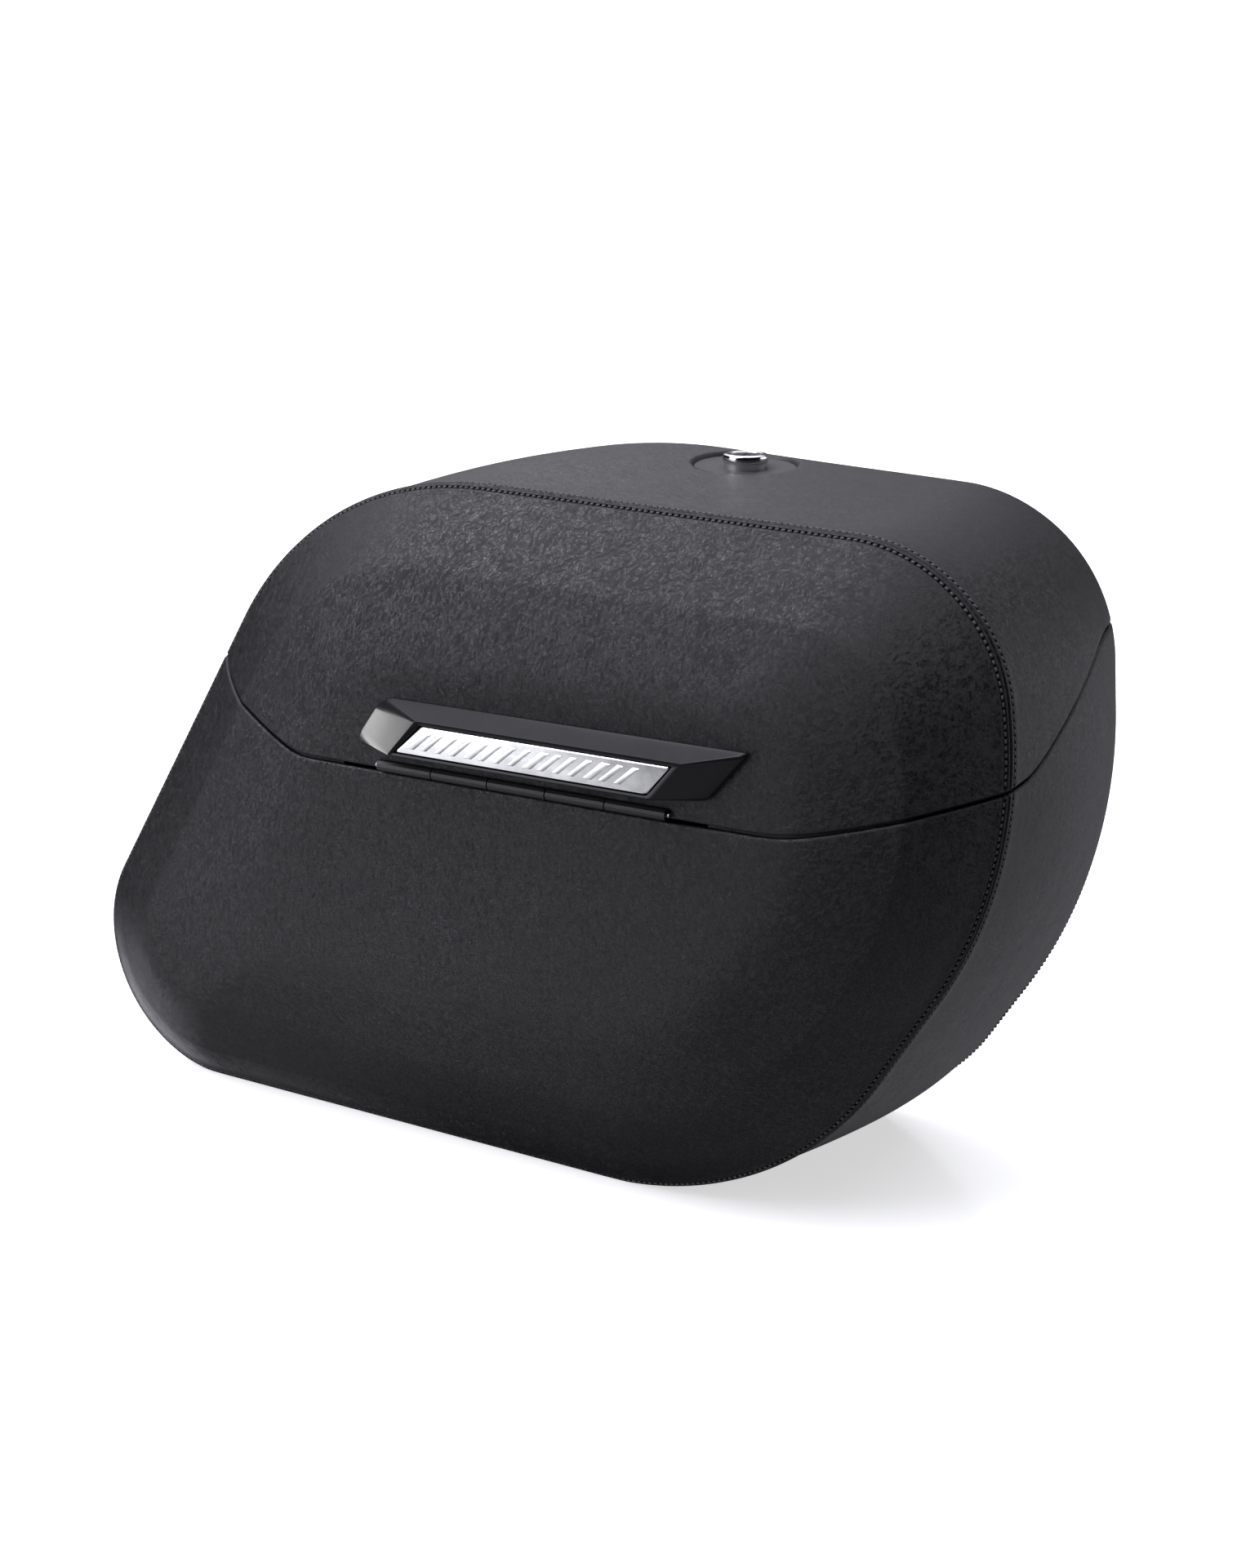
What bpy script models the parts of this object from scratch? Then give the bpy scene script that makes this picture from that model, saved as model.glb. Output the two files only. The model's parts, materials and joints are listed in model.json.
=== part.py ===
"""A hard motorcycle saddlebag: a leather-covered box whose lid tips outwards on a hinge in its front face.

Design coordinates are millimetres: x along the bag from the left end of the front seam, y from the front
seam plane towards the motorcycle, z up from the floor. at() turns them into metres about the part's origin,
which is at the middle of the bag's bounding box, on the floor.
"""

import math

import bmesh
import bpy
from mathutils import Matrix, Vector

# ---------------------------------------------------------------- driving dimensions, mm
MM = 0.001
MIDDLE_X = 232.38
MIDDLE_Y = 39.45

# Corners of the outline as (x, z, radius), from the lower left one, clockwise seen from the front.
FRONT_CORNERS = [(-51, 0, 65), (141, 308, 150), (455, 298, 69), (471, 170, 190), (370, 0, 150)]
BACK_CORNERS = [(-51, 0, 65), (136, 321, 258), (462, 302.5, 74), (471, 140, 225), (386, 0, 100)]
CREASE_CORNERS = [(24, 49, 32), (157, 276, 100), (428, 268, 45), (440, 150, 150), (345, 47, 90)]
PANEL_CORNERS = [(96, 91, 22), (193, 234, 42), (387, 232, 30), (391, 165, 80), (338, 94, 60)]
ARC_STEPS = [5, 6, 6, 4, 6]
SIDE_STEPS = [2, 2, 1, 3, 1]

DEPTH = 130.0
SEAM_STEP = 1.5
CREASE_DEPTH = 30.0
PANEL_DEPTH = 44.0
TOP_CROWN = 1.5
SIDE_BULGE = 6.5
ROUND_START = 104.0
ROUND_RADIUS = 28.0

LEATHER = 1.1
CLEAR = 0.3
SHELL_WALL = 3.0
SHELL_INSET = LEATHER + 0.75
PARTING = 188.0
PARTING_BACK = 251.0
PARTING_GAP = 0.6
# along the sides: depth behind the front seam, share of the climb to PARTING_BACK
SIDE_RISE = [
    (0, 0.0), (12, 0.02), (22, 0.1), (34, 0.25), (54, 0.5),
    (66, 0.66), (78, 0.82), (90, 0.94), (104, 1.0),
]
RIM_GAP = 2.1
GASKET_WIDTH = 2.2
BAND_RINGS = [0.3, 30, 65, 98, 109, 117, 124, 128.5]

RIVET_RADIUS = 1.6
RIVET_HOLE = 1.9
RIVET_HEAD = 3.2
RIVET_HEAD_TIP = 2.0
SCREW_RADIUS = 2.0
SCREW_HOLE = 2.3
SCREW_HEAD = 3.6

HINGE_Y = -44.6
HINGE_Z = 190.5
HINGE_LEFT = 200.0
HINGE_RIGHT = 340.0
KNUCKLES = 5
KNUCKLE_RADIUS = 2.6
PIN_RADIUS = 1.15
LEAF = 1.2
LEAF_FACE = PANEL_DEPTH - SHELL_INSET - SHELL_WALL - CLEAR
WEB_FRONT = -41.7
RIVET_XS = [215.0, 270.0, 325.0]

BADGE_FRONT = -57.0
BADGE_FLOOR = -54.5
BADGE_SCREW_XS = [238.0, 318.0]
BADGE_SCREW_Z = 209.5

LOCK_X = 306.0
LOCK_Y = 86.0
LOCK_TOP = 314.0
DISH_RADIUS = 22.0
DISH_FLOOR = LOCK_TOP - 11.1
HOUSING_RADIUS = 8.6
PLUG_RADIUS = 6.4
CAM_REACH = 17.0
STRIKER_PATH = [(124.6, 214), (124.6, 240), (105.5, 285), (98.5, 285)]
STRIKER_HALF_WIDTH = 12.0

MOUNT_XS = [150.0, 330.0]
MOUNT_ZS = [100.0, 180.0]
PAD_HEIGHT = 6.0
PAD_RADIUS = 14.0
PAD_BORE = 6.2
INSERT_FLANGE = 9.0
INSERT_RADIUS = 5.5
INSERT_BORE = 3.4
PLATE_EDGE = 16.0
PLATE_THICKNESS = 2.0

STAY_REACH = 94.0
STAY_HALF_ANGLE = math.radians(25)
LID_RANGE = math.radians(80)
STAY_RADIUS = 1.6
STAY_OFF_WALL = {-1: 7.2, 1: 3.8}
STAY_BOW = 14.0
STAY_EYE = 5.5
STAY_HOLE = 2.2
WALL_SLANT = {-1: 1.17, 1: 1.03}
STAY_POINTS = 13

COLOURS = {
    "leather_black": ((0.016, 0.016, 0.018), 0.55, 0.0),
    "shell_black": ((0.03, 0.03, 0.032), 0.6, 0.0),
    "foam_black": ((0.02, 0.02, 0.02), 0.9, 0.0),
    "rubber_black": ((0.02, 0.02, 0.02), 0.8, 0.0),
    "felt_grey": ((0.06, 0.06, 0.065), 0.95, 0.0),
    "steel_zinc": ((0.62, 0.62, 0.63), 0.35, 1.0),
    "steel_black": ((0.03, 0.03, 0.03), 0.4, 1.0),
    "chrome": ((0.86, 0.86, 0.87), 0.08, 1.0),
    "gloss_black": ((0.01, 0.01, 0.011), 0.12, 0.0),
    "silver_satin": ((0.75, 0.76, 0.77), 0.28, 1.0),
}


# ---------------------------------------------------------------- helpers
def at(x, y, z):
    return Vector(((x - MIDDLE_X) * MM, (y - MIDDLE_Y) * MM, z * MM))


def clear_scene():
    for obj in list(bpy.data.objects):
        bpy.data.objects.remove(obj, do_unlink=True)


def make_collection(name):
    collection = bpy.data.collections.new(name)
    bpy.context.scene.collection.children.link(collection)
    return collection


def material(name):
    if name in bpy.data.materials:
        return bpy.data.materials[name]
    colour, roughness, metallic = COLOURS[name]
    made = bpy.data.materials.new(name)
    made.use_nodes = True
    shader = made.node_tree.nodes["Principled BSDF"]
    shader.inputs["Base Color"].default_value = (*colour, 1.0)
    shader.inputs["Roughness"].default_value = roughness
    shader.inputs["Metallic"].default_value = metallic
    return made


def add_axis(name, place):
    empty = bpy.data.objects.new(name, None)
    empty.location = at(*place)
    BAG.objects.link(empty)
    return empty


def add_object(name, bm, finish=None, parent=None, location=None, rotation=None):
    """A node when finish names its material, otherwise a hidden cutter."""
    mesh = bpy.data.meshes.new(name)
    bm.normal_update()
    bm.to_mesh(mesh)
    bm.free()
    obj = bpy.data.objects.new(name, mesh)
    if location is not None:
        obj.location = location
    if rotation is not None:
        obj.rotation_mode = "QUATERNION"
        obj.rotation_quaternion = rotation
    if finish is None:
        CUTTERS.objects.link(obj)
        obj.hide_render = True
        obj.display_type = "WIRE"
        return obj
    BAG.objects.link(obj)
    mesh.materials.append(material(finish))
    mesh.shade_smooth()
    mesh.set_sharp_from_angle(angle=math.radians(35))
    if parent is not None:
        obj.parent = parent
        obj.matrix_parent_inverse = Matrix.Translation(-parent.location)
    return obj


def box(name, low, high, finish=None, parent=None):
    bm = bmesh.new()
    bmesh.ops.create_cube(bm, size=1.0)
    size = [(b - a) * MM for a, b in zip(low, high)]
    bmesh.ops.scale(bm, vec=size, verts=bm.verts)
    middle = [(a + b) / 2 for a, b in zip(low, high)]
    return add_object(name, bm, finish, parent, at(*middle))


def rod(name, start, end, radius, finish=None, parent=None, sides=16, tip_radius=None):
    """A cylinder, or a cone with its own tip radius, from start to end."""
    start = at(*start)
    end = at(*end)
    bm = bmesh.new()
    bmesh.ops.create_cone(
        bm,
        cap_ends=True,
        segments=sides,
        radius1=radius * MM,
        radius2=(radius if tip_radius is None else tip_radius) * MM,
        depth=(end - start).length,
    )
    turn = Vector((0, 0, 1)).rotation_difference(end - start)
    return add_object(name, bm, finish, parent, (start + end) / 2, turn)


def turned(name, profile, base, direction, finish=None, parent=None, steps=20):
    """Revolves a closed profile of (radius, height) about the line from base along direction."""
    bm = bmesh.new()
    corners = [bm.verts.new((radius * MM, 0, height * MM)) for radius, height in profile]
    for first, second in zip(corners, corners[1:] + corners[:1]):
        bm.edges.new((first, second))
    turn = Vector((0, 0, 1)).rotation_difference(Vector(direction))
    obj = add_object(name, bm, finish, parent, at(*base), turn)
    screw = obj.modifiers.new("turn", "SCREW")
    screw.steps = steps
    screw.render_steps = steps
    screw.use_merge_vertices = True
    screw.merge_threshold = 0.00005
    return obj


def boolean(obj, other, operation):
    step = obj.modifiers.new(operation.lower(), "BOOLEAN")
    step.operation = operation
    step.object = other
    step.solver = "EXACT"


def cut(obj, *others):
    for other in others:
        boolean(obj, other, "DIFFERENCE")


def unite(obj, *others):
    for other in others:
        boolean(obj, other, "UNION")


def drill(name, target, start, end, radius, sides=10):
    cut(target, rod(name, start, end, radius, sides=sides))


def solidify(obj, thickness):
    shell = obj.modifiers.new("wall", "SOLIDIFY")
    shell.thickness = thickness * MM
    shell.offset = -1.0
    shell.use_even_offset = True


# ---------------------------------------------------------------- outlines and lofts
def outline(corners):
    """Points of a rounded polygon as (x, z), the same number for any set of corners."""
    arcs = []
    for i, (x, z, radius) in enumerate(corners):
        corner = Vector((x, z))
        before = (Vector(corners[i - 1][:2]) - corner).normalized()
        after = (Vector(corners[(i + 1) % len(corners)][:2]) - corner).normalized()
        half = before.angle(after) / 2
        centre = corner + (before + after).normalized() * radius / math.sin(half)
        start = corner + before * radius / math.tan(half) - centre
        sweep = math.pi - 2 * half
        arc = []
        for step in range(ARC_STEPS[i] + 1):
            angle = -sweep * step / ARC_STEPS[i]
            arc.append(centre + Matrix.Rotation(angle, 2) @ start)
        arcs.append(arc)
    points = []
    for i, arc in enumerate(arcs):
        following = arcs[(i + 1) % len(arcs)][0]
        points += arc
        for step in range(1, SIDE_STEPS[i]):
            points.append(arc[-1].lerp(following, step / SIDE_STEPS[i]))
    return points


def band_corners(y):
    """The outline's corners at a depth: crowned on top, bulged at the ends, rounded over at the back."""
    along = y / DEPTH
    swell = math.sin(math.pi * min(along, 1.0))
    crown = TOP_CROWN * math.sin(math.pi * min(along * 0.88, 1.0))
    over = max(0.0, y - ROUND_START)
    drop = ROUND_RADIUS - math.sqrt(ROUND_RADIUS**2 - over**2)
    moved = []
    for i, (front, back) in enumerate(zip(FRONT_CORNERS, BACK_CORNERS)):
        x, z, radius = [a + (b - a) * along for a, b in zip(front, back)]
        outward = -1 if i < 2 else 1
        x += outward * SIDE_BULGE * swell
        if i in (1, 2):
            z += crown - drop
            x -= outward * drop * 0.4
        moved.append((x, z, radius))
    return moved


def band_ring(y):
    return [(p.x, y, p.y) for p in outline(band_corners(y))]


def ring_between(outer, inner, share, y):
    return [(p.x, y, p.y) for p in [a.lerp(b, share) for a, b in zip(outer, inner)]]


def front_rings():
    """From the seam over the convex border to the crease, then up the slope to the flat panel."""
    seam = outline(FRONT_CORNERS)
    crease = outline(CREASE_CORNERS)
    panel = outline(PANEL_CORNERS)
    rings = [ring_between(seam, crease, 0.0, -CLEAR), ring_between(seam, crease, 0.0, -SEAM_STEP)]
    for t in (0.33, 0.67, 1.0):
        inward = 0.7 * t * (1 - t) + t * t
        forward = 1.2 * t * (1 - t) + t * t
        depth = SEAM_STEP + (CREASE_DEPTH - SEAM_STEP) * forward
        rings.append(ring_between(seam, crease, inward, -depth))
    slope = 0.7
    rise = CREASE_DEPTH + (PANEL_DEPTH - CREASE_DEPTH) * math.sin(slope * math.pi / 2.1)
    rings.append(ring_between(crease, panel, slope, -rise))
    rings.append(ring_between(crease, panel, 1.0, -PANEL_DEPTH))
    return rings


def loft(rings, cap_first=False, cap_last=False):
    """Triangles between neighbouring rings of equal length, with flat faces over the ends asked for."""
    bm = bmesh.new()
    rows = [[bm.verts.new(at(*point)) for point in ring] for ring in rings]
    count = len(rows[0])
    for low, high in zip(rows, rows[1:]):
        for i in range(count):
            j = (i + 1) % count
            bm.faces.new((low[i], low[j], high[j]))
            bm.faces.new((low[i], high[j], high[i]))
    if cap_first:
        bm.faces.new(list(reversed(rows[0])))
    if cap_last:
        bm.faces.new(rows[-1])
    bm.normal_update()
    return bm


def whole_surface(distance):
    """The bag's closed outer surface, moved inwards by distance."""
    rings = list(reversed(front_rings()[1:]))
    rings += [band_ring(y) for y in BAND_RINGS[1:-1]] + [band_ring(DEPTH)]
    bm = loft(rings, cap_first=True, cap_last=True)
    bmesh.ops.recalc_face_normals(bm, faces=bm.faces)
    factors = [(v, v.normal.copy(), v.calc_shell_factor()) for v in bm.verts]
    for vertex, normal, factor in factors:
        vertex.co -= normal * min(factor, 1.6) * distance * MM
    return bm


# ---------------------------------------------------------------- parting surface
def along_curve(points, value):
    """Monotone smooth curve through points (input, output)."""
    if value <= points[0][0]:
        return points[0][1]
    if value >= points[-1][0]:
        return points[-1][1]
    slopes = [(b[1] - a[1]) / (b[0] - a[0]) for a, b in zip(points, points[1:])]
    tangents = [0.0] + [2 * a * b / (a + b) for a, b in zip(slopes, slopes[1:])] + [0.0]
    i = max(k for k in range(len(slopes)) if points[k][0] <= value)
    width = points[i + 1][0] - points[i][0]
    t = (value - points[i][0]) / width
    start = points[i][1] * (1 + 2 * t) * (1 - t) ** 2 + tangents[i] * width * t * (1 - t) ** 2
    end = points[i + 1][1] * t * t * (3 - 2 * t) + tangents[i + 1] * width * t * t * (t - 1)
    return start + end


def parting_height(x, y):
    """Level under the badge, rising softly towards both ends, then climbing along the sides to the back."""
    left = 0.42 * (math.hypot(max(159 - x, 0), 12) - 12)
    right = 0.28 * (math.hypot(max(x - 378, 0), 22) - 22)
    front = PARTING + left + right
    return front + (PARTING_BACK - front) * along_curve(SIDE_RISE, y)


def parting_cutter(name, offset, top):
    """The space above (top True) or below the parting surface moved by offset."""
    xs = [-30, 30, 75, 95, 110, 122, 132, 141, 150, 159, 188, 352, 378, 390, 402, 415, 430, 450, 500]
    ys = [-75, -1, 12, 22, 28, 34, 44, 54, 66, 78, 84, 90, 97, 104, 150]
    far = 380.0 if top else -20.0
    bm = bmesh.new()
    face = [[bm.verts.new(at(x, y, parting_height(x, y) + offset)) for x in xs] for y in ys]
    lid = [[bm.verts.new(at(x, y, far)) for x in (xs[0], xs[-1])] for y in (ys[0], ys[-1])]
    for low, high in zip(face, face[1:]):
        for i in range(len(xs) - 1):
            bm.faces.new((low[i], low[i + 1], high[i + 1]))
            bm.faces.new((low[i], high[i + 1], high[i]))
    bm.faces.new([lid[0][0], lid[0][1], lid[1][1], lid[1][0]])
    bm.faces.new(face[0] + [lid[0][1], lid[0][0]])
    bm.faces.new(face[-1] + [lid[1][1], lid[1][0]])
    bm.faces.new([row[0] for row in face] + [lid[1][0], lid[0][0]])
    bm.faces.new([row[-1] for row in face] + [lid[1][1], lid[0][1]])
    bmesh.ops.recalc_face_normals(bm, faces=bm.faces)
    return add_object(name, bm)


# ---------------------------------------------------------------- covers, shells and gasket
def make_shell(name, cutter, parent):
    bm = whole_surface(SHELL_INSET)
    shell = add_object(name, bm, "shell_black", parent)
    solidify(shell, SHELL_WALL)
    boolean(shell, cutter, "INTERSECT")
    return shell


def make_covers(body, cutter, parent):
    """Front, band and back leather of the case or the lid, each its own piece meeting at a stitched edge."""
    front = loft(front_rings(), cap_last=True)
    bmesh.ops.recalc_face_normals(front, faces=front.faces)
    band = loft([band_ring(y) for y in BAND_RINGS])
    bmesh.ops.recalc_face_normals(band, faces=band.faces)
    point_outward(band)
    back = loft([band_ring(DEPTH)], cap_last=True)
    face_direction(back, Vector((0, 1, 0)))
    covers = {}
    for name, bm in (("front", front), ("band", band), ("back", back)):
        cover = add_object(f"{body}_{name}_cover", bm, "leather_black", parent)
        solidify(cover, LEATHER)
        boolean(cover, cutter, "INTERSECT")
        covers[name] = cover
    return covers


def point_outward(bm):
    """An open tube's normals are turned away from the bag's middle line."""
    bm.normal_update()
    face = max(bm.faces, key=lambda f: f.calc_center_median().z)
    if face.normal.z < 0:
        bmesh.ops.reverse_faces(bm, faces=bm.faces)


def face_direction(bm, direction):
    bm.normal_update()
    for face in bm.faces:
        if face.normal.dot(direction) < 0:
            face.normal_flip()


def make_gasket():
    """A foam strip between the two rims, open at the hinge."""
    edge = (SHELL_WALL - GASKET_WIDTH) / 2 + 0.1
    gasket = add_object("rim_gasket", whole_surface(SHELL_INSET + edge), "foam_black")
    solidify(gasket, GASKET_WIDTH)
    boolean(gasket, parting_cutter("gasket_below", RIM_GAP - 2 * CLEAR, False), "INTERSECT")
    boolean(gasket, parting_cutter("gasket_above", CLEAR - RIM_GAP, True), "INTERSECT")
    gap = box("gasket_gap", (HINGE_LEFT - 14, -60, 180), (HINGE_RIGHT + 14, -30, 200))
    cut(gasket, gap)


# ---------------------------------------------------------------- hinge
def knuckle_span(index):
    width = (HINGE_RIGHT - HINGE_LEFT) / KNUCKLES
    return HINGE_LEFT + index * width + 0.3, HINGE_LEFT + (index + 1) * width - 0.3


def make_leaf(name, parent, first, web_z, plate_z):
    """Knuckles on the pin, a web through the gap between the rims, and a plate against the wall inside."""
    low = (HINGE_LEFT, -LEAF_FACE, min(web_z, plate_z))
    high = (HINGE_RIGHT, LEAF - LEAF_FACE, max(web_z + LEAF, plate_z))
    leaf = box(name, low, high, "steel_black", parent)
    web_low = (HINGE_LEFT + 0.2, WEB_FRONT, web_z)
    web_high = (HINGE_RIGHT - 0.2, LEAF - CLEAR - LEAF_FACE, web_z + LEAF - 0.03)
    unite(leaf, box(f"{name}_web", web_low, web_high))
    for index in range(first, KNUCKLES, 2):
        left, right = knuckle_span(index)
        tongue_low = (left + 0.1, HINGE_Y, web_z + 0.03)
        tongue_high = (right - 0.1, WEB_FRONT + CLEAR, web_z + LEAF - 0.06)
        tongue = box(f"{name}_tongue_{index}", tongue_low, tongue_high)
        ends = (left, HINGE_Y, HINGE_Z), (right, HINGE_Y, HINGE_Z)
        barrel = rod(f"{name}_knuckle_{index}", *ends, KNUCKLE_RADIUS, sides=12)
        unite(leaf, tongue, barrel)
    ends = (HINGE_LEFT - 5, HINGE_Y, HINGE_Z), (HINGE_RIGHT + 5, HINGE_Y, HINGE_Z)
    drill(f"{name}_bore", leaf, *ends, PIN_RADIUS + CLEAR)
    return leaf


def make_hinge_rivets(body, leaf, shell, z, parent):
    face = LEAF - LEAF_FACE + CLEAR
    for number, x in enumerate(RIVET_XS, 1):
        place = f"{body}_{number}"
        line = (x, -46, z), (x, -30, z)
        drill(f"hinge_hole_{place}", leaf, *line, RIVET_HOLE)
        drill(f"shell_hole_{place}", shell, *line, RIVET_HOLE)
        shank = (x, SHELL_INSET + 0.2 - PANEL_DEPTH, z), (x, face + 0.2, z)
        rivet = rod(f"hinge_rivet_{place}", *shank, RIVET_RADIUS, "steel_zinc", parent, 10)
        dome = (x, face, z), (x, face + 1.2, z)
        unite(rivet, rod(f"rivet_head_{place}", *dome, RIVET_HEAD, sides=10, tip_radius=RIVET_HEAD_TIP))


def make_hinge(case_shell, lid_shell, lid_front):
    """Two leaves with knuckles in turn on one pin, which shows as a dark rod under the badge."""
    case_leaf = make_leaf("hinge_leaf_case", None, 0, HINGE_Z - 2.5, HINGE_Z - 22)
    lid_leaf = make_leaf("hinge_leaf_lid", LID_AXIS, 1, HINGE_Z + 1.3, HINGE_Z + 13.5)
    ends = (HINGE_LEFT - 1, HINGE_Y, HINGE_Z), (HINGE_RIGHT + 1, HINGE_Y, HINGE_Z)
    rod("hinge_pin", *ends, PIN_RADIUS, "steel_zinc", sides=10)
    notch_low = HINGE_LEFT - 2, -50, 180
    notch_high = HINGE_RIGHT + 2, -34, HINGE_Z + KNUCKLE_RADIUS + 0.4
    notch = box("hinge_notch", notch_low, notch_high)
    cut(lid_shell, notch)
    cut(lid_front, notch)
    make_hinge_rivets("case", case_leaf, case_shell, HINGE_Z - 15, None)
    make_hinge_rivets("lid", lid_leaf, lid_shell, HINGE_Z + 8.5, LID_AXIS)


# ---------------------------------------------------------------- badge
def slanted_block(name, back, front, y_back, y_front, finish=None, parent=None):
    """A block between two four-cornered outlines, the front one drawn out of the back one."""
    bm = bmesh.new()
    face = bm.faces.new([bm.verts.new(at(x, y_back, z)) for x, z in back])
    made = bmesh.ops.extrude_face_region(bm, geom=[face])
    raised = [part for part in made["geom"] if isinstance(part, bmesh.types.BMVert)]
    for vertex in raised:
        nearest = min(range(4), key=lambda i: (vertex.co - at(back[i][0], y_back, back[i][1])).length)
        vertex.co = at(front[nearest][0], y_front, front[nearest][1])
    bmesh.ops.recalc_face_normals(bm, faces=bm.faces)
    return add_object(name, bm, finish, parent)


def make_badge(lid_shell, lid_front):
    """A slanting frame with a bright plate sunk into it, held by two screws from inside the lid."""
    base = [(189, 199), (357, 199), (375, 221), (204, 221)]
    rim = [(213, 199.6), (339, 199.6), (353, 216.5), (228, 216.5)]
    pocket = [(216.3, 201.2), (337, 201.2), (348.2, 214.7), (230.2, 214.7)]
    plate = [(217, 201.5), (336.7, 201.5), (347.5, 214.4), (230.8, 214.4)]
    back = -PANEL_DEPTH - CLEAR
    bezel = slanted_block("badge_bezel", base, rim, back, BADGE_FRONT, "gloss_black", LID_AXIS)
    cut(bezel, slanted_block("badge_pocket", pocket, pocket, BADGE_FLOOR, BADGE_FRONT - 3))
    plate_depths = BADGE_FLOOR - CLEAR, BADGE_FRONT - 0.4
    slanted_block("badge_insert", plate, plate, *plate_depths, "silver_satin", LID_AXIS)
    for number, x in enumerate(BADGE_SCREW_XS, 1):
        z = BADGE_SCREW_Z
        line = (x, -51, z), (x, -30, z)
        drill(f"badge_hole_{number}", bezel, (x, -51.5, z), line[1], SCREW_HOLE)
        drill(f"badge_shell_hole_{number}", lid_shell, *line, SCREW_HOLE)
        drill(f"badge_cover_hole_{number}", lid_front, *line, SCREW_HOLE)
        shank = (x, -51, z), (x, 0.5 - LEAF_FACE, z)
        screw = rod(f"badge_screw_{number}", *shank, SCREW_RADIUS, "steel_zinc", LID_AXIS, 10)
        head = (x, -LEAF_FACE, z), (x, 2.4 - LEAF_FACE, z)
        unite(screw, rod(f"badge_head_{number}", *head, SCREW_HEAD, sides=10))


# ---------------------------------------------------------------- lock
def above_floor(height):
    """A point on the lock's line, at a height over the floor of its dish."""
    return LOCK_X, LOCK_Y, DISH_FLOOR + height


def make_lock(lid_shell, lid_band):
    """A barrel in a dished cup on top of the lid, with a nut below and a cam that turns with the plug."""
    x, y = LOCK_X, LOCK_Y
    centre = (x, y, 0)
    up = (0, 0, 1)
    through = (x, y, 295), (x, y, 320)
    drill("dish_shell_hole", lid_shell, *through, DISH_RADIUS + CLEAR, sides=24)
    drill("dish_cover_hole", lid_band, *through, DISH_RADIUS + CLEAR, sides=24)
    floor = DISH_FLOOR
    brim = floor + 7.9
    collar = HOUSING_RADIUS + 1.4
    cup = [
        (DISH_RADIUS, brim),
        (DISH_RADIUS, floor - 1.5),
        (collar + 0.6, floor - 1.5),
        (collar + 0.6, floor),
        (DISH_RADIUS - 7, floor),
        (DISH_RADIUS - 3, floor + 2.5),
        (DISH_RADIUS - 1.4, brim),
    ]
    turned("lock_cup", cup, centre, up, "leather_black", LID_AXIS, steps=24)
    housing = [
        (collar - 1.0, LOCK_TOP),
        (collar, LOCK_TOP - 1.0),
        (collar, floor - 3.6),
        (HOUSING_RADIUS, floor - 3.6),
        (HOUSING_RADIUS, floor - 17),
        (PLUG_RADIUS + CLEAR, floor - 17),
        (PLUG_RADIUS + CLEAR, LOCK_TOP),
    ]
    turned("lock_housing", housing, centre, up, "chrome", LID_AXIS)
    nut = rod("lock_nut", above_floor(-8.5), above_floor(-3.9), 13.5, "steel_zinc", LID_AXIS, 6)
    drill("lock_nut_bore", nut, above_floor(-20), above_floor(0), HOUSING_RADIUS + CLEAR, sides=20)
    plug_top = (x, y, LOCK_TOP - 0.4)
    plug = rod("lock_plug", above_floor(-19), plug_top, PLUG_RADIUS, "chrome", LOCK_AXIS, 20)
    cut(plug, box("key_slot", (x - 0.6, y - 3.4, LOCK_TOP - 6), (x + 0.6, y + 3.4, LOCK_TOP + 1)))
    drill("cam_screw_hole", plug, above_floor(-20), above_floor(-12), RIVET_HOLE)
    cam_low = (x - 7, y - 6.5, floor - 22.3)
    cam_high = (x + CAM_REACH, y + 6.5, floor - 19.3)
    cam = box("lock_cam", cam_low, cam_high, "steel_zinc", LOCK_AXIS)
    bevel_upright(cam, 5.0)
    drill("cam_hole", cam, above_floor(-25), above_floor(-15), RIVET_HOLE)
    shank = above_floor(-23.2), above_floor(-13)
    screw = rod("cam_screw", *shank, RIVET_RADIUS, "steel_zinc", LOCK_AXIS, 12)
    unite(screw, rod("cam_screw_head", above_floor(-25), above_floor(-22.6), 3.4, sides=10))


def bevel_upright(obj, width):
    """Rounds the upright corners of a flat plate."""
    mesh = obj.data
    weights = mesh.attributes.new("bevel_weight_edge", "FLOAT", "EDGE")
    for edge in mesh.edges:
        first, second = (mesh.vertices[i].co for i in edge.vertices)
        upright = abs(first.z - second.z) > 0.5 * (first - second).length
        weights.data[edge.index].value = 1.0 if upright else 0.0
    bevel = obj.modifiers.new("corners", "BEVEL")
    bevel.width = width * MM
    bevel.segments = 4
    bevel.limit_method = "WEIGHT"


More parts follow.
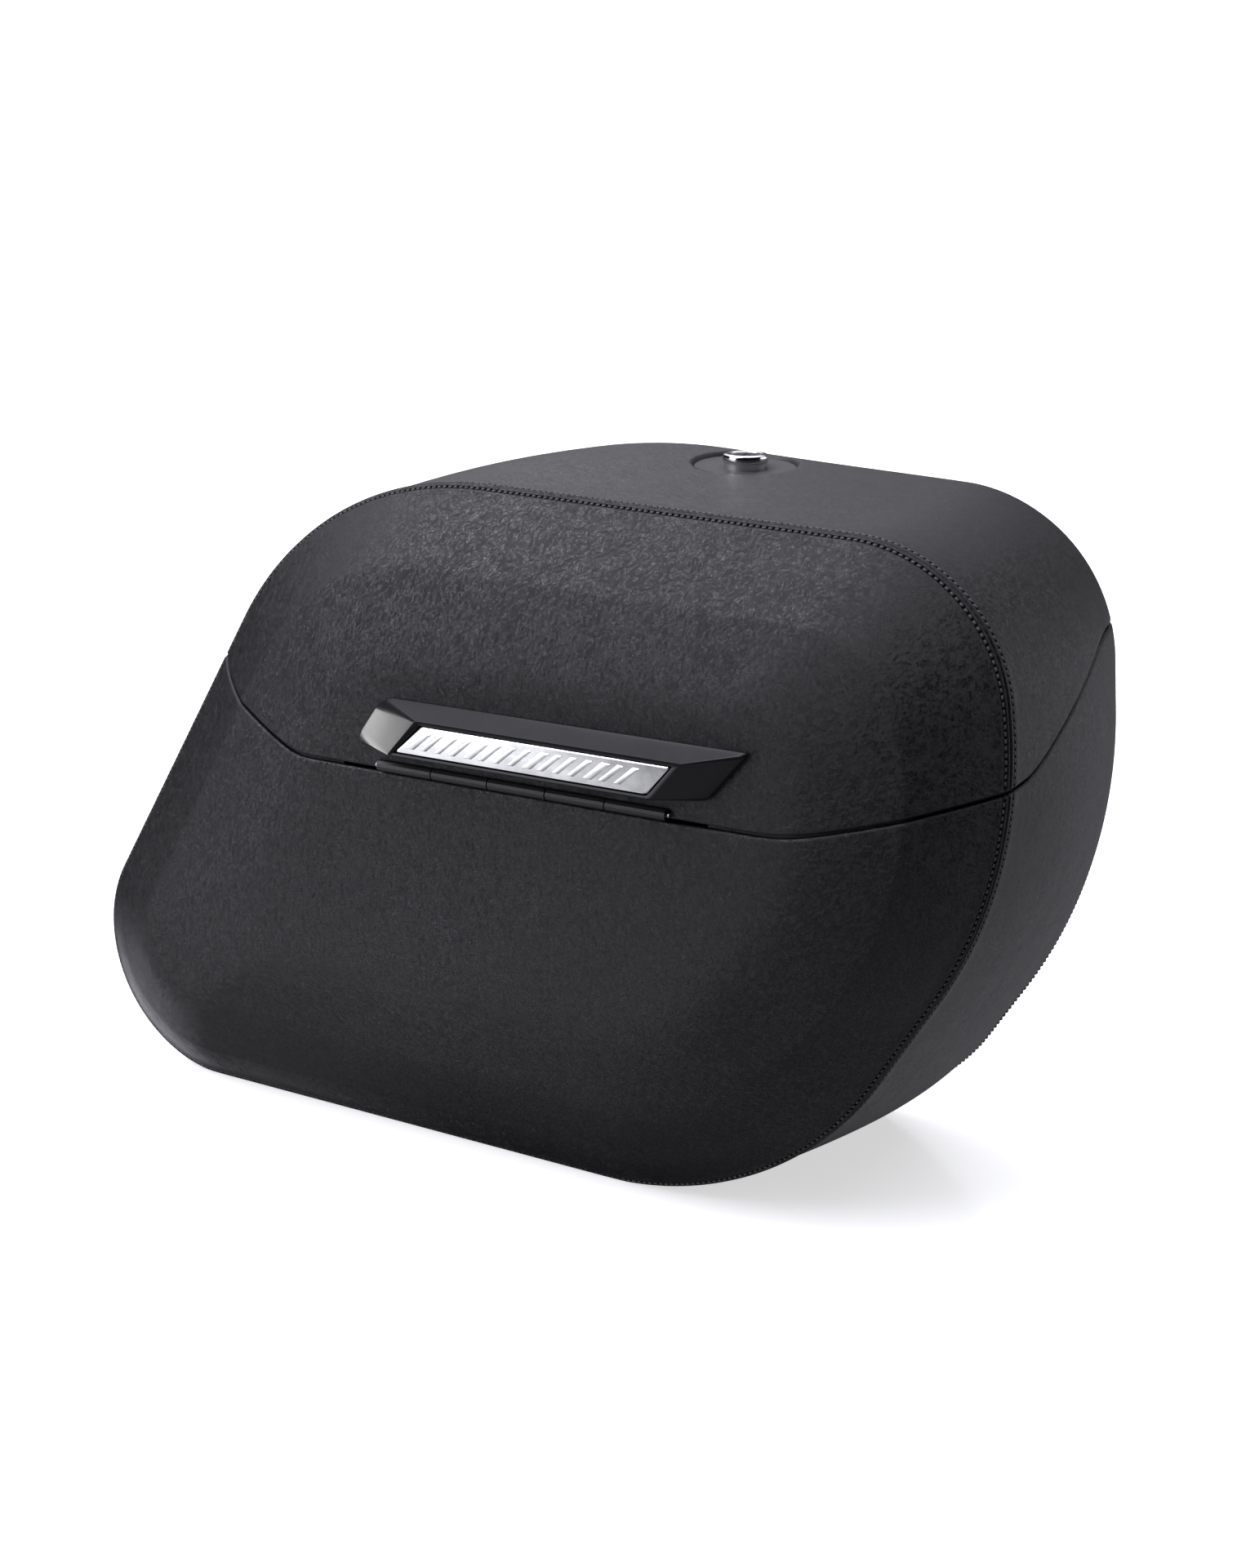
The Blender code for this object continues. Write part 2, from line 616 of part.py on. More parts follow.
def make_striker(case_shell):
    """A bent strip: up the back wall inside, leaning forward over the rim, and level over the cam."""
    bm = bmesh.new()
    rows = []
    for y, z in STRIKER_PATH:
        rows.append([bm.verts.new(at(LOCK_X + side * STRIKER_HALF_WIDTH, y, z)) for side in (-1, 1)])
    for low, high in zip(rows, rows[1:]):
        bm.faces.new((low[0], low[1], high[1], high[0]))
    striker = add_object("striker", bm, "steel_zinc")
    strip = striker.modifiers.new("strip", "SOLIDIFY")
    strip.thickness = 1.2 * MM
    strip.offset = 0.0
    strip.use_even_offset = True
    z = STRIKER_PATH[0][1] + 8.0
    for number, x in enumerate((LOCK_X - 7, LOCK_X + 7), 1):
        line = (x, 118, z), (x, 135, z)
        drill(f"striker_hole_{number}", striker, *line, RIVET_HOLE)
        drill(f"striker_shell_hole_{number}", case_shell, *line, RIVET_HOLE)
        shank = (x, 128.3, z), (x, 123.5, z)
        rivet = rod(f"striker_rivet_{number}", *shank, RIVET_RADIUS, "steel_zinc", None, 10)
        dome = (x, 123.7, z), (x, 122.4, z)
        unite(rivet, rod(f"striker_head_{number}", *dome, RIVET_HEAD, sides=10, tip_radius=RIVET_HEAD_TIP))


# ---------------------------------------------------------------- lid stays
def wall_inside(y, z, side):
    """x of the hard shell's inner face on one end wall, which leans, at a depth and a height."""
    ring = band_ring(y)
    crossings = []
    for a, b in zip(ring, ring[1:] + ring[:1]):
        if min(a[2], b[2]) <= z < max(a[2], b[2]):
            crossings.append(a[0] + (b[0] - a[0]) * (z - a[2]) / (b[2] - a[2]))
    wall = min(crossings) if side < 0 else max(crossings)
    return wall - side * WALL_SLANT[side] * (SHELL_INSET + SHELL_WALL)


def stay_path(side):
    """A limp cable from the case to the lid that has its full length in hand while the lid is shut."""
    half_gap = STAY_REACH * math.sin(STAY_HALF_ANGLE)
    anchor_y = HINGE_Y + STAY_REACH * math.cos(STAY_HALF_ANGLE)
    open_level = STAY_REACH * math.cos(STAY_HALF_ANGLE + LID_RANGE / 2)
    start_x = wall_inside(anchor_y, HINGE_Z - half_gap, side) - side * STAY_OFF_WALL[side]
    end_x = wall_inside(anchor_y, HINGE_Z + half_gap, side) - side * STAY_OFF_WALL[side]
    path = []
    for i in range(STAY_POINTS):
        t = i / (STAY_POINTS - 1)
        turn = (t * t * (3 - 2 * t) - 0.5) * LID_RANGE
        rise = (2 * t - 1) * half_gap
        out = (open_level + rise * math.sin(turn)) / math.cos(turn)
        bow = side * STAY_BOW * math.sin(math.pi * t) ** 2
        path.append((start_x + (end_x - start_x) * t - bow, HINGE_Y + out, HINGE_Z + rise))
    return path


def tube(name, path, radius, finish):
    curve = bpy.data.curves.new(name, "CURVE")
    curve.dimensions = "3D"
    curve.bevel_depth = radius * MM
    curve.bevel_resolution = 2
    curve.use_fill_caps = True
    spline = curve.splines.new("POLY")
    spline.points.add(len(path) - 1)
    for point, place in zip(spline.points, path):
        point.co = (*at(*place), 1.0)
    curve.materials.append(material(finish))
    BAG.objects.link(bpy.data.objects.new(name, curve))


def make_stay(name, side, case_shell, lid_shell):
    """A cable with an eye at each end, riveted through the end wall (side is -1 left, 1 right)."""
    path = stay_path(side)
    tube(f"lid_stay_{name}", path[1:-1], STAY_RADIUS, "steel_black")
    rows = (
        ("case", path[0], path[1], case_shell, None),
        ("lid", path[-1], path[-2], lid_shell, LID_AXIS),
    )
    for body, place, following, shell, parent in rows:
        x, y, z = place
        tail = Vector(following) - Vector(place)
        near = Vector(place) + tail * ((STAY_EYE - 0.9) / tail.length)
        end = Vector(place) + tail * (1 - 0.4 / tail.length)
        tag = f"{body}_{name}"
        disc = (x + 1.3 * side, y, z), (x - 1.3 * side, y, z)
        eye = rod(f"stay_eye_{tag}", *disc, STAY_EYE, "steel_zinc", parent, 14)
        unite(eye, rod(f"stay_ferrule_{tag}", tuple(near), tuple(end), STAY_RADIUS + 0.5, sides=8))
        drill(f"stay_eye_hole_{tag}", eye, (x - 6, y, z), (x + 6, y, z), STAY_HOLE)
        drill(f"stay_wall_hole_{tag}", shell, place, (x + 16 * side, y, z), STAY_HOLE)
        shank = (x + (STAY_OFF_WALL[side] + 2.3) * side, y, z), (x - 2.0 * side, y, z)
        rivet = rod(f"stay_rivet_{tag}", *shank, STAY_HOLE - 0.4, "steel_zinc", parent, 10)
        head = (x - 1.7 * side, y, z), (x - 3.2 * side, y, z)
        unite(rivet, rod(f"stay_head_{tag}", *head, SCREW_HEAD, sides=10))


# ---------------------------------------------------------------- mounting hardware
def make_mounts(case_shell, back_cover):
    """Four threaded inserts in a backing plate, each with a rubber pad outside against the motorcycle."""
    back = DEPTH - SHELL_INSET - SHELL_WALL - CLEAR
    low = (MOUNT_XS[0] - PLATE_EDGE, back - PLATE_THICKNESS, MOUNT_ZS[0] - PLATE_EDGE)
    high = (MOUNT_XS[1] + PLATE_EDGE, back, MOUNT_ZS[1] + PLATE_EDGE)
    plate = box("backing_plate", low, high, "steel_zinc")
    inside = back - PLATE_THICKNESS - CLEAR
    flange = 1.6
    neck = DEPTH - inside + flange
    insert = [
        (INSERT_FLANGE, flange),
        (INSERT_FLANGE, 0.0),
        (INSERT_BORE, 0.0),
        (INSERT_BORE, neck),
        (INSERT_RADIUS, neck),
        (INSERT_RADIUS, flange),
    ]
    pad = [
        (PAD_RADIUS, 0.0),
        (PAD_BORE, 0.0),
        (PAD_BORE, PAD_HEIGHT),
        (PAD_RADIUS - 1.2, PAD_HEIGHT),
        (PAD_RADIUS, PAD_HEIGHT - 1.2),
    ]
    inwards = (0, 1, 0)
    places = [(x, z) for z in MOUNT_ZS for x in MOUNT_XS]
    for number, (x, z) in enumerate(places, 1):
        line = (x, 115, z), (x, 140, z)
        for target, tag in ((case_shell, "shell"), (back_cover, "cover"), (plate, "plate")):
            drill(f"mount_hole_{tag}_{number}", target, *line, INSERT_RADIUS + 0.4)
        turned(f"mount_insert_{number}", insert, (x, inside - flange, z), inwards, "steel_zinc", steps=12)
        turned(f"mount_pad_{number}", pad, (x, DEPTH + CLEAR, z), inwards, "rubber_black", steps=16)


def make_floor_mat():
    floor = SHELL_INSET + SHELL_WALL + CLEAR
    mat = box("floor_mat", (78, 8, floor), (272, 119, floor + 3.0), "felt_grey")
    bevel_upright(mat, 15.0)


# ---------------------------------------------------------------- the bag
clear_scene()
BAG = make_collection("saddlebag")
CUTTERS = make_collection("cutters")
LID_AXIS = add_axis("lid_axis", (MIDDLE_X, HINGE_Y, HINGE_Z))
LOCK_AXIS = add_axis("lock_axis", (LOCK_X, LOCK_Y, LOCK_TOP))

case_shell = make_shell("case_shell", parting_cutter("shell_below", -RIM_GAP, False), None)
lid_shell = make_shell("lid_shell", parting_cutter("shell_above", RIM_GAP, True), LID_AXIS)
case_covers = make_covers("case", parting_cutter("cover_below", -PARTING_GAP, False), None)
lid_covers = make_covers("lid", parting_cutter("cover_above", PARTING_GAP, True), LID_AXIS)
make_gasket()
make_hinge(case_shell, lid_shell, lid_covers["front"])
make_badge(lid_shell, lid_covers["front"])
make_lock(lid_shell, lid_covers["band"])
make_striker(case_shell)
make_stay("left", -1, case_shell, lid_shell)
make_stay("right", 1, case_shell, lid_shell)
make_mounts(case_shell, case_covers["back"])
make_floor_mat()
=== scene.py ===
"""Looks for the hard motorcycle saddlebag: stitched leather skins, badge, lock, liner and studio.

Shapes are worked out in millimetres in the design frame of the part: x along the bag from the left end of
its front seam, y from the front seam plane towards the motorcycle, z up. at() turns them into metres in
the row frame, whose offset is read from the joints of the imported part.
"""

import json
import math

import bmesh
import bpy
import numpy as np
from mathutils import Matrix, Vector
from mathutils.kdtree import KDTree


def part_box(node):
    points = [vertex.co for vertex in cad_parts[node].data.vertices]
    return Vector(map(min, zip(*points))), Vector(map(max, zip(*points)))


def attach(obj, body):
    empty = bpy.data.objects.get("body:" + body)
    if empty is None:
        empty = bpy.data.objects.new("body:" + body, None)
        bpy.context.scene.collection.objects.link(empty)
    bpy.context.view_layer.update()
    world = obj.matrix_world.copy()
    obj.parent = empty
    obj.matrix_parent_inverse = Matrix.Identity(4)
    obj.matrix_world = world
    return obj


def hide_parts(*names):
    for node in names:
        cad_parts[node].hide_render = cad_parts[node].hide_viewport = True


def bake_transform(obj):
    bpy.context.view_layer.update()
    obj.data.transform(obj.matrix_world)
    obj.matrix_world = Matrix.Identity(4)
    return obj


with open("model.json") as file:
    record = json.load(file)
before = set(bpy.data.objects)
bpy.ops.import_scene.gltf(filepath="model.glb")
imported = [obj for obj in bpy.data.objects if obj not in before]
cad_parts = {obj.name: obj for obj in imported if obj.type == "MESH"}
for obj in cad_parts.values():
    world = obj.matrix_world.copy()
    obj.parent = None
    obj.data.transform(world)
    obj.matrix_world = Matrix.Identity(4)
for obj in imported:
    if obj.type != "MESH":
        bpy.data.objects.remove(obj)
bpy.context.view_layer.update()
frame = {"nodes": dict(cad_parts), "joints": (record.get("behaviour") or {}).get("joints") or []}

# ---------------------------------------------------------------- design dimensions, mm
MM = 0.001
JOINTS = {joint["name"]: joint for joint in frame["joints"]}
HINGE_Y, HINGE_Z = -44.6, 190.5
HINGE_LEFT, HINGE_RIGHT = 200.0, 340.0
LOCK_X, LOCK_Y, LOCK_TOP = 306.0, 86.0, 314.0
LOCK_FLOOR = 302.9
MIDDLE_X = LOCK_X - JOINTS["lock_turn"]["pos_m"][0] / MM
MIDDLE_Y = HINGE_Y - JOINTS["lid_hinge"]["pos_m"][1] / MM

FRONT_CORNERS = [(-51, 0, 65), (141, 308, 150), (455, 298, 69), (471, 170, 190), (370, 0, 150)]
BACK_CORNERS = [(-51, 0, 65), (136, 321, 258), (462, 302.5, 74), (471, 140, 225), (386, 0, 100)]
CREASE_CORNERS = [(24, 49, 32), (157, 276, 100), (428, 268, 45), (440, 150, 150), (345, 47, 90)]
PANEL_CORNERS = [(96, 91, 22), (193, 234, 42), (387, 232, 30), (391, 165, 80), (338, 94, 60)]
ARC_STEPS = [44, 48, 36, 32, 48]
SIDE_STEPS = [50, 48, 2, 18, 68]

DEPTH = 130.0
CREASE_DEPTH = 30.0
PANEL_DEPTH = 44.0
TOP_CROWN = 1.5
SIDE_BULGE = 6.5
ROUND_START = 104.0
ROUND_RADIUS = 28.0
PARTING = 188.0
PARTING_BACK = 251.0
# along the sides: depth behind the front seam, share of the climb to PARTING_BACK
SIDE_RISE = [
    (0, 0.0), (12, 0.02), (22, 0.1), (34, 0.25), (54, 0.5),
    (66, 0.66), (78, 0.82), (90, 0.94), (104, 1.0),
]

EDGE_ROLL = 1.2
PARTING_GAP = 0.7
LEATHER = 0.9
SHELL_INSET = 1.85
SHELL_WALL = 3.0
RIM_GAP = 2.1
STITCH_PITCH = 2.8
STITCH_ROW = 3.0
STITCH_RADIUS = 0.45
EDGE_STITCH_PITCH = 2.5
EDGE_STITCH_RADIUS = 0.55
STITCH_FREE = 2.4
STITCH_FLOOR = 1.5
GASKET_FREE = 14.0
DISH_RADIUS = 24.0
DISH_FLOOR_RADIUS = 18.5
DISH_DEPTH = 8.2
LOCK_HOLE = 8.5
TOP_LEVEL = 250.0
PAD_FACE = 136.3


def at(x, y, z):
    return Vector(((x - MIDDLE_X) * MM, (y - MIDDLE_Y) * MM, z * MM))


def to_row(points):
    """Design millimetres, as an array with x, y, z last, to row-frame metres."""
    return (points - np.array([MIDDLE_X, MIDDLE_Y, 0.0])) * MM


def to_design(co):
    return co.x / MM + MIDDLE_X, co.y / MM + MIDDLE_Y, co.z / MM


# ---------------------------------------------------------------- outlines
def outline(corners, arc_steps=ARC_STEPS, side_steps=SIDE_STEPS):
    """Points of a rounded polygon, (count, 2), the same number for any set of corners."""
    arcs = []
    count = len(corners)
    for i, (x, z, radius) in enumerate(corners):
        corner = np.array((x, z), float)
        before = np.array(corners[i - 1][:2]) - corner
        after = np.array(corners[(i + 1) % count][:2]) - corner
        before = before / np.linalg.norm(before)
        after = after / np.linalg.norm(after)
        half = math.acos(float(before @ after)) / 2
        bisector = (before + after) / np.linalg.norm(before + after)
        centre = corner + bisector * radius / math.sin(half)
        start = corner + before * radius / math.tan(half) - centre
        sweep = math.pi - 2 * half
        angles = -sweep * np.arange(arc_steps[i] + 1) / arc_steps[i]
        cos, sin = np.cos(angles), np.sin(angles)
        turned = [start[0] * cos - start[1] * sin, start[0] * sin + start[1] * cos]
        arcs.append(centre + np.stack(turned, 1))
    points = []
    for i, arc in enumerate(arcs):
        following = arcs[(i + 1) % count][0]
        fractions = np.arange(1, side_steps[i])[:, None] / side_steps[i]
        points.append(np.concatenate([arc, arc[-1] + (following - arc[-1]) * fractions]))
    return np.concatenate(points)


def band_corners(y):
    along = y / DEPTH
    swell = math.sin(math.pi * min(along, 1.0))
    crown = TOP_CROWN * math.sin(math.pi * min(along * 0.88, 1.0))
    over = max(0.0, y - ROUND_START)
    drop = ROUND_RADIUS - math.sqrt(ROUND_RADIUS**2 - over**2)
    moved = []
    for i, (front, back) in enumerate(zip(FRONT_CORNERS, BACK_CORNERS)):
        x, z, radius = [a + (b - a) * along for a, b in zip(front, back)]
        outward = -1 if i < 2 else 1
        x += outward * SIDE_BULGE * swell
        if i in (1, 2):
            z += crown - drop
            x -= outward * drop * 0.4
        moved.append((x, z, radius))
    return moved


def ring(corners, y, steps):
    flat = outline(corners, *steps)
    return np.stack([flat[:, 0], np.full(len(flat), y), flat[:, 1]], 1)


FINE = (ARC_STEPS, SIDE_STEPS)
COARSE = ([14, 14, 11, 10, 14], [12, 12, 1, 5, 16])


def front_rows(steps, dense=True):
    """Rings from the seam over the border and the crease to the middle of the flat panel."""
    seam = outline(FRONT_CORNERS, *steps)
    crease = outline(CREASE_CORNERS, *steps)
    panel = outline(PANEL_CORNERS, *steps)
    seam_ts = np.arange(0, 0.16, 0.01) if dense else np.array([0.0])
    ts = np.concatenate([seam_ts, np.arange(0.16, 0.86, 0.07), [0.9, 0.94, 0.97, 0.985, 1.0]])
    rows = []
    for y in ((-0.1, -0.35, -0.6, -0.9, -1.2) if dense else (-0.3,)):
        rows.append(np.insert(seam, 1, y, axis=1))
    for t in ts:
        inward = 0.7 * t * (1 - t) + t * t
        forward = t * (1 - t) + t * t
        flat = seam + (crease - seam) * inward
        rows.append(np.insert(flat, 1, -1.5 - (CREASE_DEPTH - 1.5) * forward, axis=1))
    for t in (0.015, 0.03, 0.06, 0.1, 0.2, 0.3, 0.4, 0.5, 0.6, 0.7, 0.8, 0.9, 1.0):
        rise = CREASE_DEPTH + (PANEL_DEPTH - CREASE_DEPTH) * (1 - (1 - t) ** 1.3)
        rows.append(np.insert(crease + (panel - crease) * t, 1, -rise, axis=1))
    middle = panel.mean(axis=0)
    for share in (0.93, 0.85, 0.75, 0.62, 0.48, 0.33, 0.17):
        rows.append(np.insert(middle + (panel - middle) * share, 1, -PANEL_DEPTH, axis=1))
    return np.array(rows)


def band_rows(steps, dense=True):
    near = [0.1, 0.35, 0.6, 0.9, 1.2, 1.6, 2.0, 2.4, 2.8, 3.2, 3.6, 4.1, 4.8, 5.6, 7] if dense else [0.3]
    middle = list(np.arange(10, 101, 4.5)) + list(np.arange(103, 124, 2.5))
    end = [125.2, 126.4, 127.2, 127.8, 128.3, 128.7, 129.1, 129.4] if dense else [126.5, 130.0]
    return np.array([ring(band_corners(y), y, steps) for y in near + middle + end])


def back_rows(steps):
    """Rings from the edge of the flat back panel to its middle."""
    edge = outline(band_corners(DEPTH), *steps)
    middle = edge.mean(axis=0)
    normal = edge_normals(edge)
    rows = []
    for inset, y in ((0.15, 129.0), (0.0, 129.4), (0.15, 129.8), (0.6, 130.1), (1.2, 130.2), (1.9, 130.05)):
        rows.append(np.insert(edge - normal * inset, 1, y, axis=1))
    for inset in (2.6, 3.4, 4.2, 5.5, 8.0):
        rows.append(np.insert(edge - normal * inset, 1, 130.0 - 0.25 * (inset < 3.5), axis=1))
    inner = edge - normal * 8.0
    for share in (0.9, 0.8, 0.7, 0.6, 0.5, 0.4, 0.3, 0.2, 0.1):
        rows.append(np.insert(middle + (inner - middle) * share, 1, DEPTH, axis=1))
    return np.array(rows)


def edge_normals(edge):
    """Outward normals of a closed flat outline."""
    run = np.roll(edge, -1, axis=0) - np.roll(edge, 1, axis=0)
    normal = np.stack([-run[:, 1], run[:, 0]], 1)
    normal /= np.linalg.norm(normal, axis=1, keepdims=True)
    outward = ((edge - edge.mean(axis=0)) * normal).sum()
    return normal if outward > 0 else -normal


# ---------------------------------------------------------------- grids of rings
def grid_normals(rows, outward):
    """Unit normals of a grid closed along its columns, on the side that outward(points) tells."""
    along = np.roll(rows, -1, axis=1) - np.roll(rows, 1, axis=1)
    across = np.gradient(rows, axis=0)
    normal = np.cross(along, across)
    normal /= np.linalg.norm(normal, axis=2, keepdims=True) + 1e-9
    flip = np.sign((normal * outward(rows)).sum(axis=2, keepdims=True))
    return normal * np.where(flip == 0, 1, flip)


def run_from_start(rows):
    steps = np.linalg.norm(np.diff(rows, axis=0), axis=2)
    return np.concatenate([np.zeros((1, rows.shape[1])), np.cumsum(steps, axis=0)])


def smooth_rows(rows, first, last, passes, weight=None):
    """Softens the profile across rings first to last, with a weight per column."""
    rows = rows.copy()
    share = 1.0 if weight is None else weight[None, :, None]
    for _ in range(passes):
        middle = (rows[first - 1 : last - 1] + rows[first + 1 : last + 1]) / 2
        rows[first:last] += (middle - rows[first:last]) * 0.5 * share
    return rows


# folded edge either side of the seam: distance from the seam, height over the panel
SEAM_PROFILE = [
    (0.0, -1.1), (0.25, -0.7), (0.5, -0.1), (0.9, 0.32), (1.5, 0.48), (2.1, 0.34),
    (2.55, -0.05), (3.0, -0.26), (3.45, -0.02), (4.0, 0.26), (4.7, 0.3), (6.0, 0.12), (7.5, 0.0),
]


def seam_height(distance):
    spots, heights = zip(*SEAM_PROFILE)
    return np.interp(distance, spots, heights, right=0.0)


def drape(points, amount):
    """Slow, shallow unevenness of leather drawn over foam."""
    x, y, z = points[..., 0], points[..., 1], points[..., 2]
    wave = np.sin(x / 31.0 + 1.3 * np.sin(z / 47.0)) * np.cos(z / 37.0 + 0.8 * np.sin(y / 29.0))
    wave += 0.5 * np.sin(x / 17.0 - z / 21.0 + y / 19.0)
    return amount * wave


# ---------------------------------------------------------------- parting between case and lid
def smooth_rise(values):
    spots = np.array(SIDE_RISE)
    widths = np.diff(spots[:, 0])
    slopes = np.diff(spots[:, 1]) / widths
    inner = 2 * slopes[:-1] * slopes[1:] / (slopes[:-1] + slopes[1:])
    tangents = np.concatenate([[0.0], inner, [0.0]])
    values = np.clip(values, spots[0, 0], spots[-1, 0])
    i = np.clip(np.searchsorted(spots[:, 0], values, side="right") - 1, 0, len(widths) - 1)
    t = (values - spots[i, 0]) / widths[i]
    start = spots[i, 1] * (1 + 2 * t) * (1 - t) ** 2 + tangents[i] * widths[i] * t * (1 - t) ** 2
    end = spots[i + 1, 1] * t * t * (3 - 2 * t) + tangents[i + 1] * widths[i] * t * t * (t - 1)
    return start + end


def parting_height(x, y):
    left = 0.42 * (np.hypot(np.maximum(159 - x, 0), 12) - 12)
    right = 0.28 * (np.hypot(np.maximum(x - 378, 0), 22) - 22)
    front = PARTING + left + right
    return front + (PARTING_BACK - front) * smooth_rise(y)


def parting_level(co):
    x, y, z = to_design(co)
    return z - float(parting_height(np.array(x), np.array(y)))


def parting_uphill(co):
    """Direction in which the level rises fastest, for rolling the leather's edge."""
    x, y, _ = to_design(co)
    step = 0.5
    here = float(parting_height(np.array(x), np.array(y)))
    by_x = float(parting_height(np.array(x + step), np.array(y))) - here
    by_y = float(parting_height(np.array(x), np.array(y + step))) - here
    return Vector((-by_x / step, -by_y / step, 1.0)).normalized()


# ---------------------------------------------------------------- mesh helpers
def finish_object(name, bm, body, finish, replaced=(), smooth=True):
    mesh = bpy.data.meshes.new(name)
    bm.normal_update()
    bm.to_mesh(mesh)
    bm.free()
    if smooth:
        mesh.shade_smooth()
    obj = bpy.data.objects.new(name, mesh)
    bpy.context.scene.collection.objects.link(obj)
    mesh.materials.append(finish)
    if body:
        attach(obj, body)
    if replaced:
        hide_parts(*replaced)
    return obj


def apply_modifiers(obj):
    graph = bpy.context.evaluated_depsgraph_get()
    baked = bpy.data.meshes.new_from_object(obj.evaluated_get(graph))
    old = obj.data
    obj.modifiers.clear()
    obj.data = baked
    bpy.data.meshes.remove(old)


def loft(bm, rings):
    """Walls between rings of equal length and a cap on both ends, all facing outwards."""
    count = len(rings[0])
    for low, high in zip(rings, rings[1:]):
        for k in range(count):
            m = (k + 1) % count
            bm.faces.new((low[k], low[m], high[m], high[k]))
    bm.faces.new(rings[0])
    bm.faces.new(rings[-1])
    bmesh.ops.recalc_face_normals(bm, faces=bm.faces)


def grid_mesh(rows, along, distance, close_end=False):
    """Quads over a grid of rings. The UV map holds millimetres along and away from the first ring."""
    bm = bmesh.new()
    uv = bm.loops.layers.uv.new("seam")
    count = rows.shape[1]
    verts = [[bm.verts.new(point) for point in ring_points] for ring_points in to_row(rows)]
    for r in range(len(verts) - 1):
        for c in range(count):
            d = (c + 1) % count
            face = bm.faces.new((verts[r][c], verts[r][d], verts[r + 1][d], verts[r + 1][c]))
            ends = ((r, c, c), (r, d, c + 1), (r + 1, d, c + 1), (r + 1, c, c))
            for loop, (row, column, mark) in zip(face.loops, ends):
                loop[uv].uv = (along[mark], distance[row, column])
    if close_end:
        centre = bm.verts.new(to_row(rows[-1].mean(axis=0)))
        for c in range(count):
            face = bm.faces.new((verts[-1][c], verts[-1][(c + 1) % count], centre))
            for loop in face.loops:
                loop[uv].uv = (0.0, 100.0)
    bm.normal_update()
    return bm


def face_outward(bm, outward):
    """Turns all faces together so that, weighed by area, they look along outward(centre)."""
    bmesh.ops.recalc_face_normals(bm, faces=bm.faces)
    total = sum(f.normal.dot(outward(f.calc_center_median())) * f.calc_area() for f in bm.faces)
    if total < 0:
        bmesh.ops.reverse_faces(bm, faces=bm.faces)


def keep_side(bm, side, offset):
    """Cuts the mesh along the parting moved by offset and keeps the part above (1) or below (-1).
    Returns the edges of the new boundary."""
    def level(co):
        return parting_level(co) - side * offset

    values = {v: level(v.co) for v in bm.verts}
    near = 0.03
    on_line = [v for v, value in values.items() if abs(value) < near]
    for v in on_line:
        values[v] = 0.0
    for edge in list(bm.edges):
        a, b = edge.verts
        if values[a] * values[b] < 0:
            share = values[a] / (values[a] - values[b])
            _, made = bmesh.utils.edge_split(edge, a, share)
            values[made] = 0.0
            on_line.append(made)
    bmesh.ops.connect_verts(bm, verts=on_line)
    wrong = []
    for face in bm.faces:
        worst = max((values[v] for v in face.verts), key=abs)
        if worst * side < 0:
            wrong.append(face)
    bmesh.ops.delete(bm, geom=wrong, context="FACES")
    line = set(v for v in on_line if v.is_valid)
    return [e for e in bm.edges if e.is_boundary and e.verts[0] in line and e.verts[1] in line]


def normal_lookup(bm):
    """A function giving the surface's normal at a place, averaged over its nearest vertices."""
    tree = KDTree(len(bm.verts))
    normals = []
    for i, v in enumerate(bm.verts):
        tree.insert(v.co, i)
        normals.append(v.normal.copy())
    tree.balance()

    def smooth_normal(co):
        total = Vector((0, 0, 0))
        for _, i, _ in tree.find_n(co, 5):
            total += normals[i]
        return total.normalized()

    return smooth_normal


def roll_edge(bm, edges, side, radius, reach, smooth_normal):
    """Turns the leather's cut edge in: a quarter round towards the gap, then straight inwards."""
    uv = bm.loops.layers.uv.active
    frames = {}
    for edge in edges:
        for v in edge.verts:
            if v not in frames:
                normal = smooth_normal(v.co)
                uphill = parting_uphill(v.co)
                out = (uphill - normal * uphill.dot(normal)).normalized() * -side
                frames[v] = (v.co.copy(), normal, out)
    steps = [(math.sin(a), 1 - math.cos(a), 0.0) for a in np.linspace(0, math.pi / 2, 5)[1:]]
    steps.append((1.0, 1.0, reach))
    for over, under, inward in steps:
        made = bmesh.ops.extrude_edge_only(bm, edges=edges)
        new_edges = [g for g in made["geom"] if isinstance(g, bmesh.types.BMEdge)]
        new_faces = [g for g in made["geom"] if isinstance(g, bmesh.types.BMFace)]
        moved = {}
        for face in new_faces:
            for loop in face.loops:
                loop[uv].uv = (0.0, 100.0)
            for edge in face.edges:
                a, b = edge.verts
                if a in frames and b not in frames:
                    moved[b] = frames[a]
                elif b in frames and a not in frames:
                    moved[a] = frames[b]
        for v, (base, normal, out) in moved.items():
            v.co = base + (out * over * radius - normal * (under * radius + inward)) * MM
        edges = [e for e in new_edges if e.verts[0] in moved and e.verts[1] in moved]
        frames = moved


def solidify(obj, thickness, even=False):
    wall = obj.modifiers.new("wall", "SOLIDIFY")
    wall.thickness = thickness * MM
    wall.offset = -1.0
    wall.use_even_offset = even


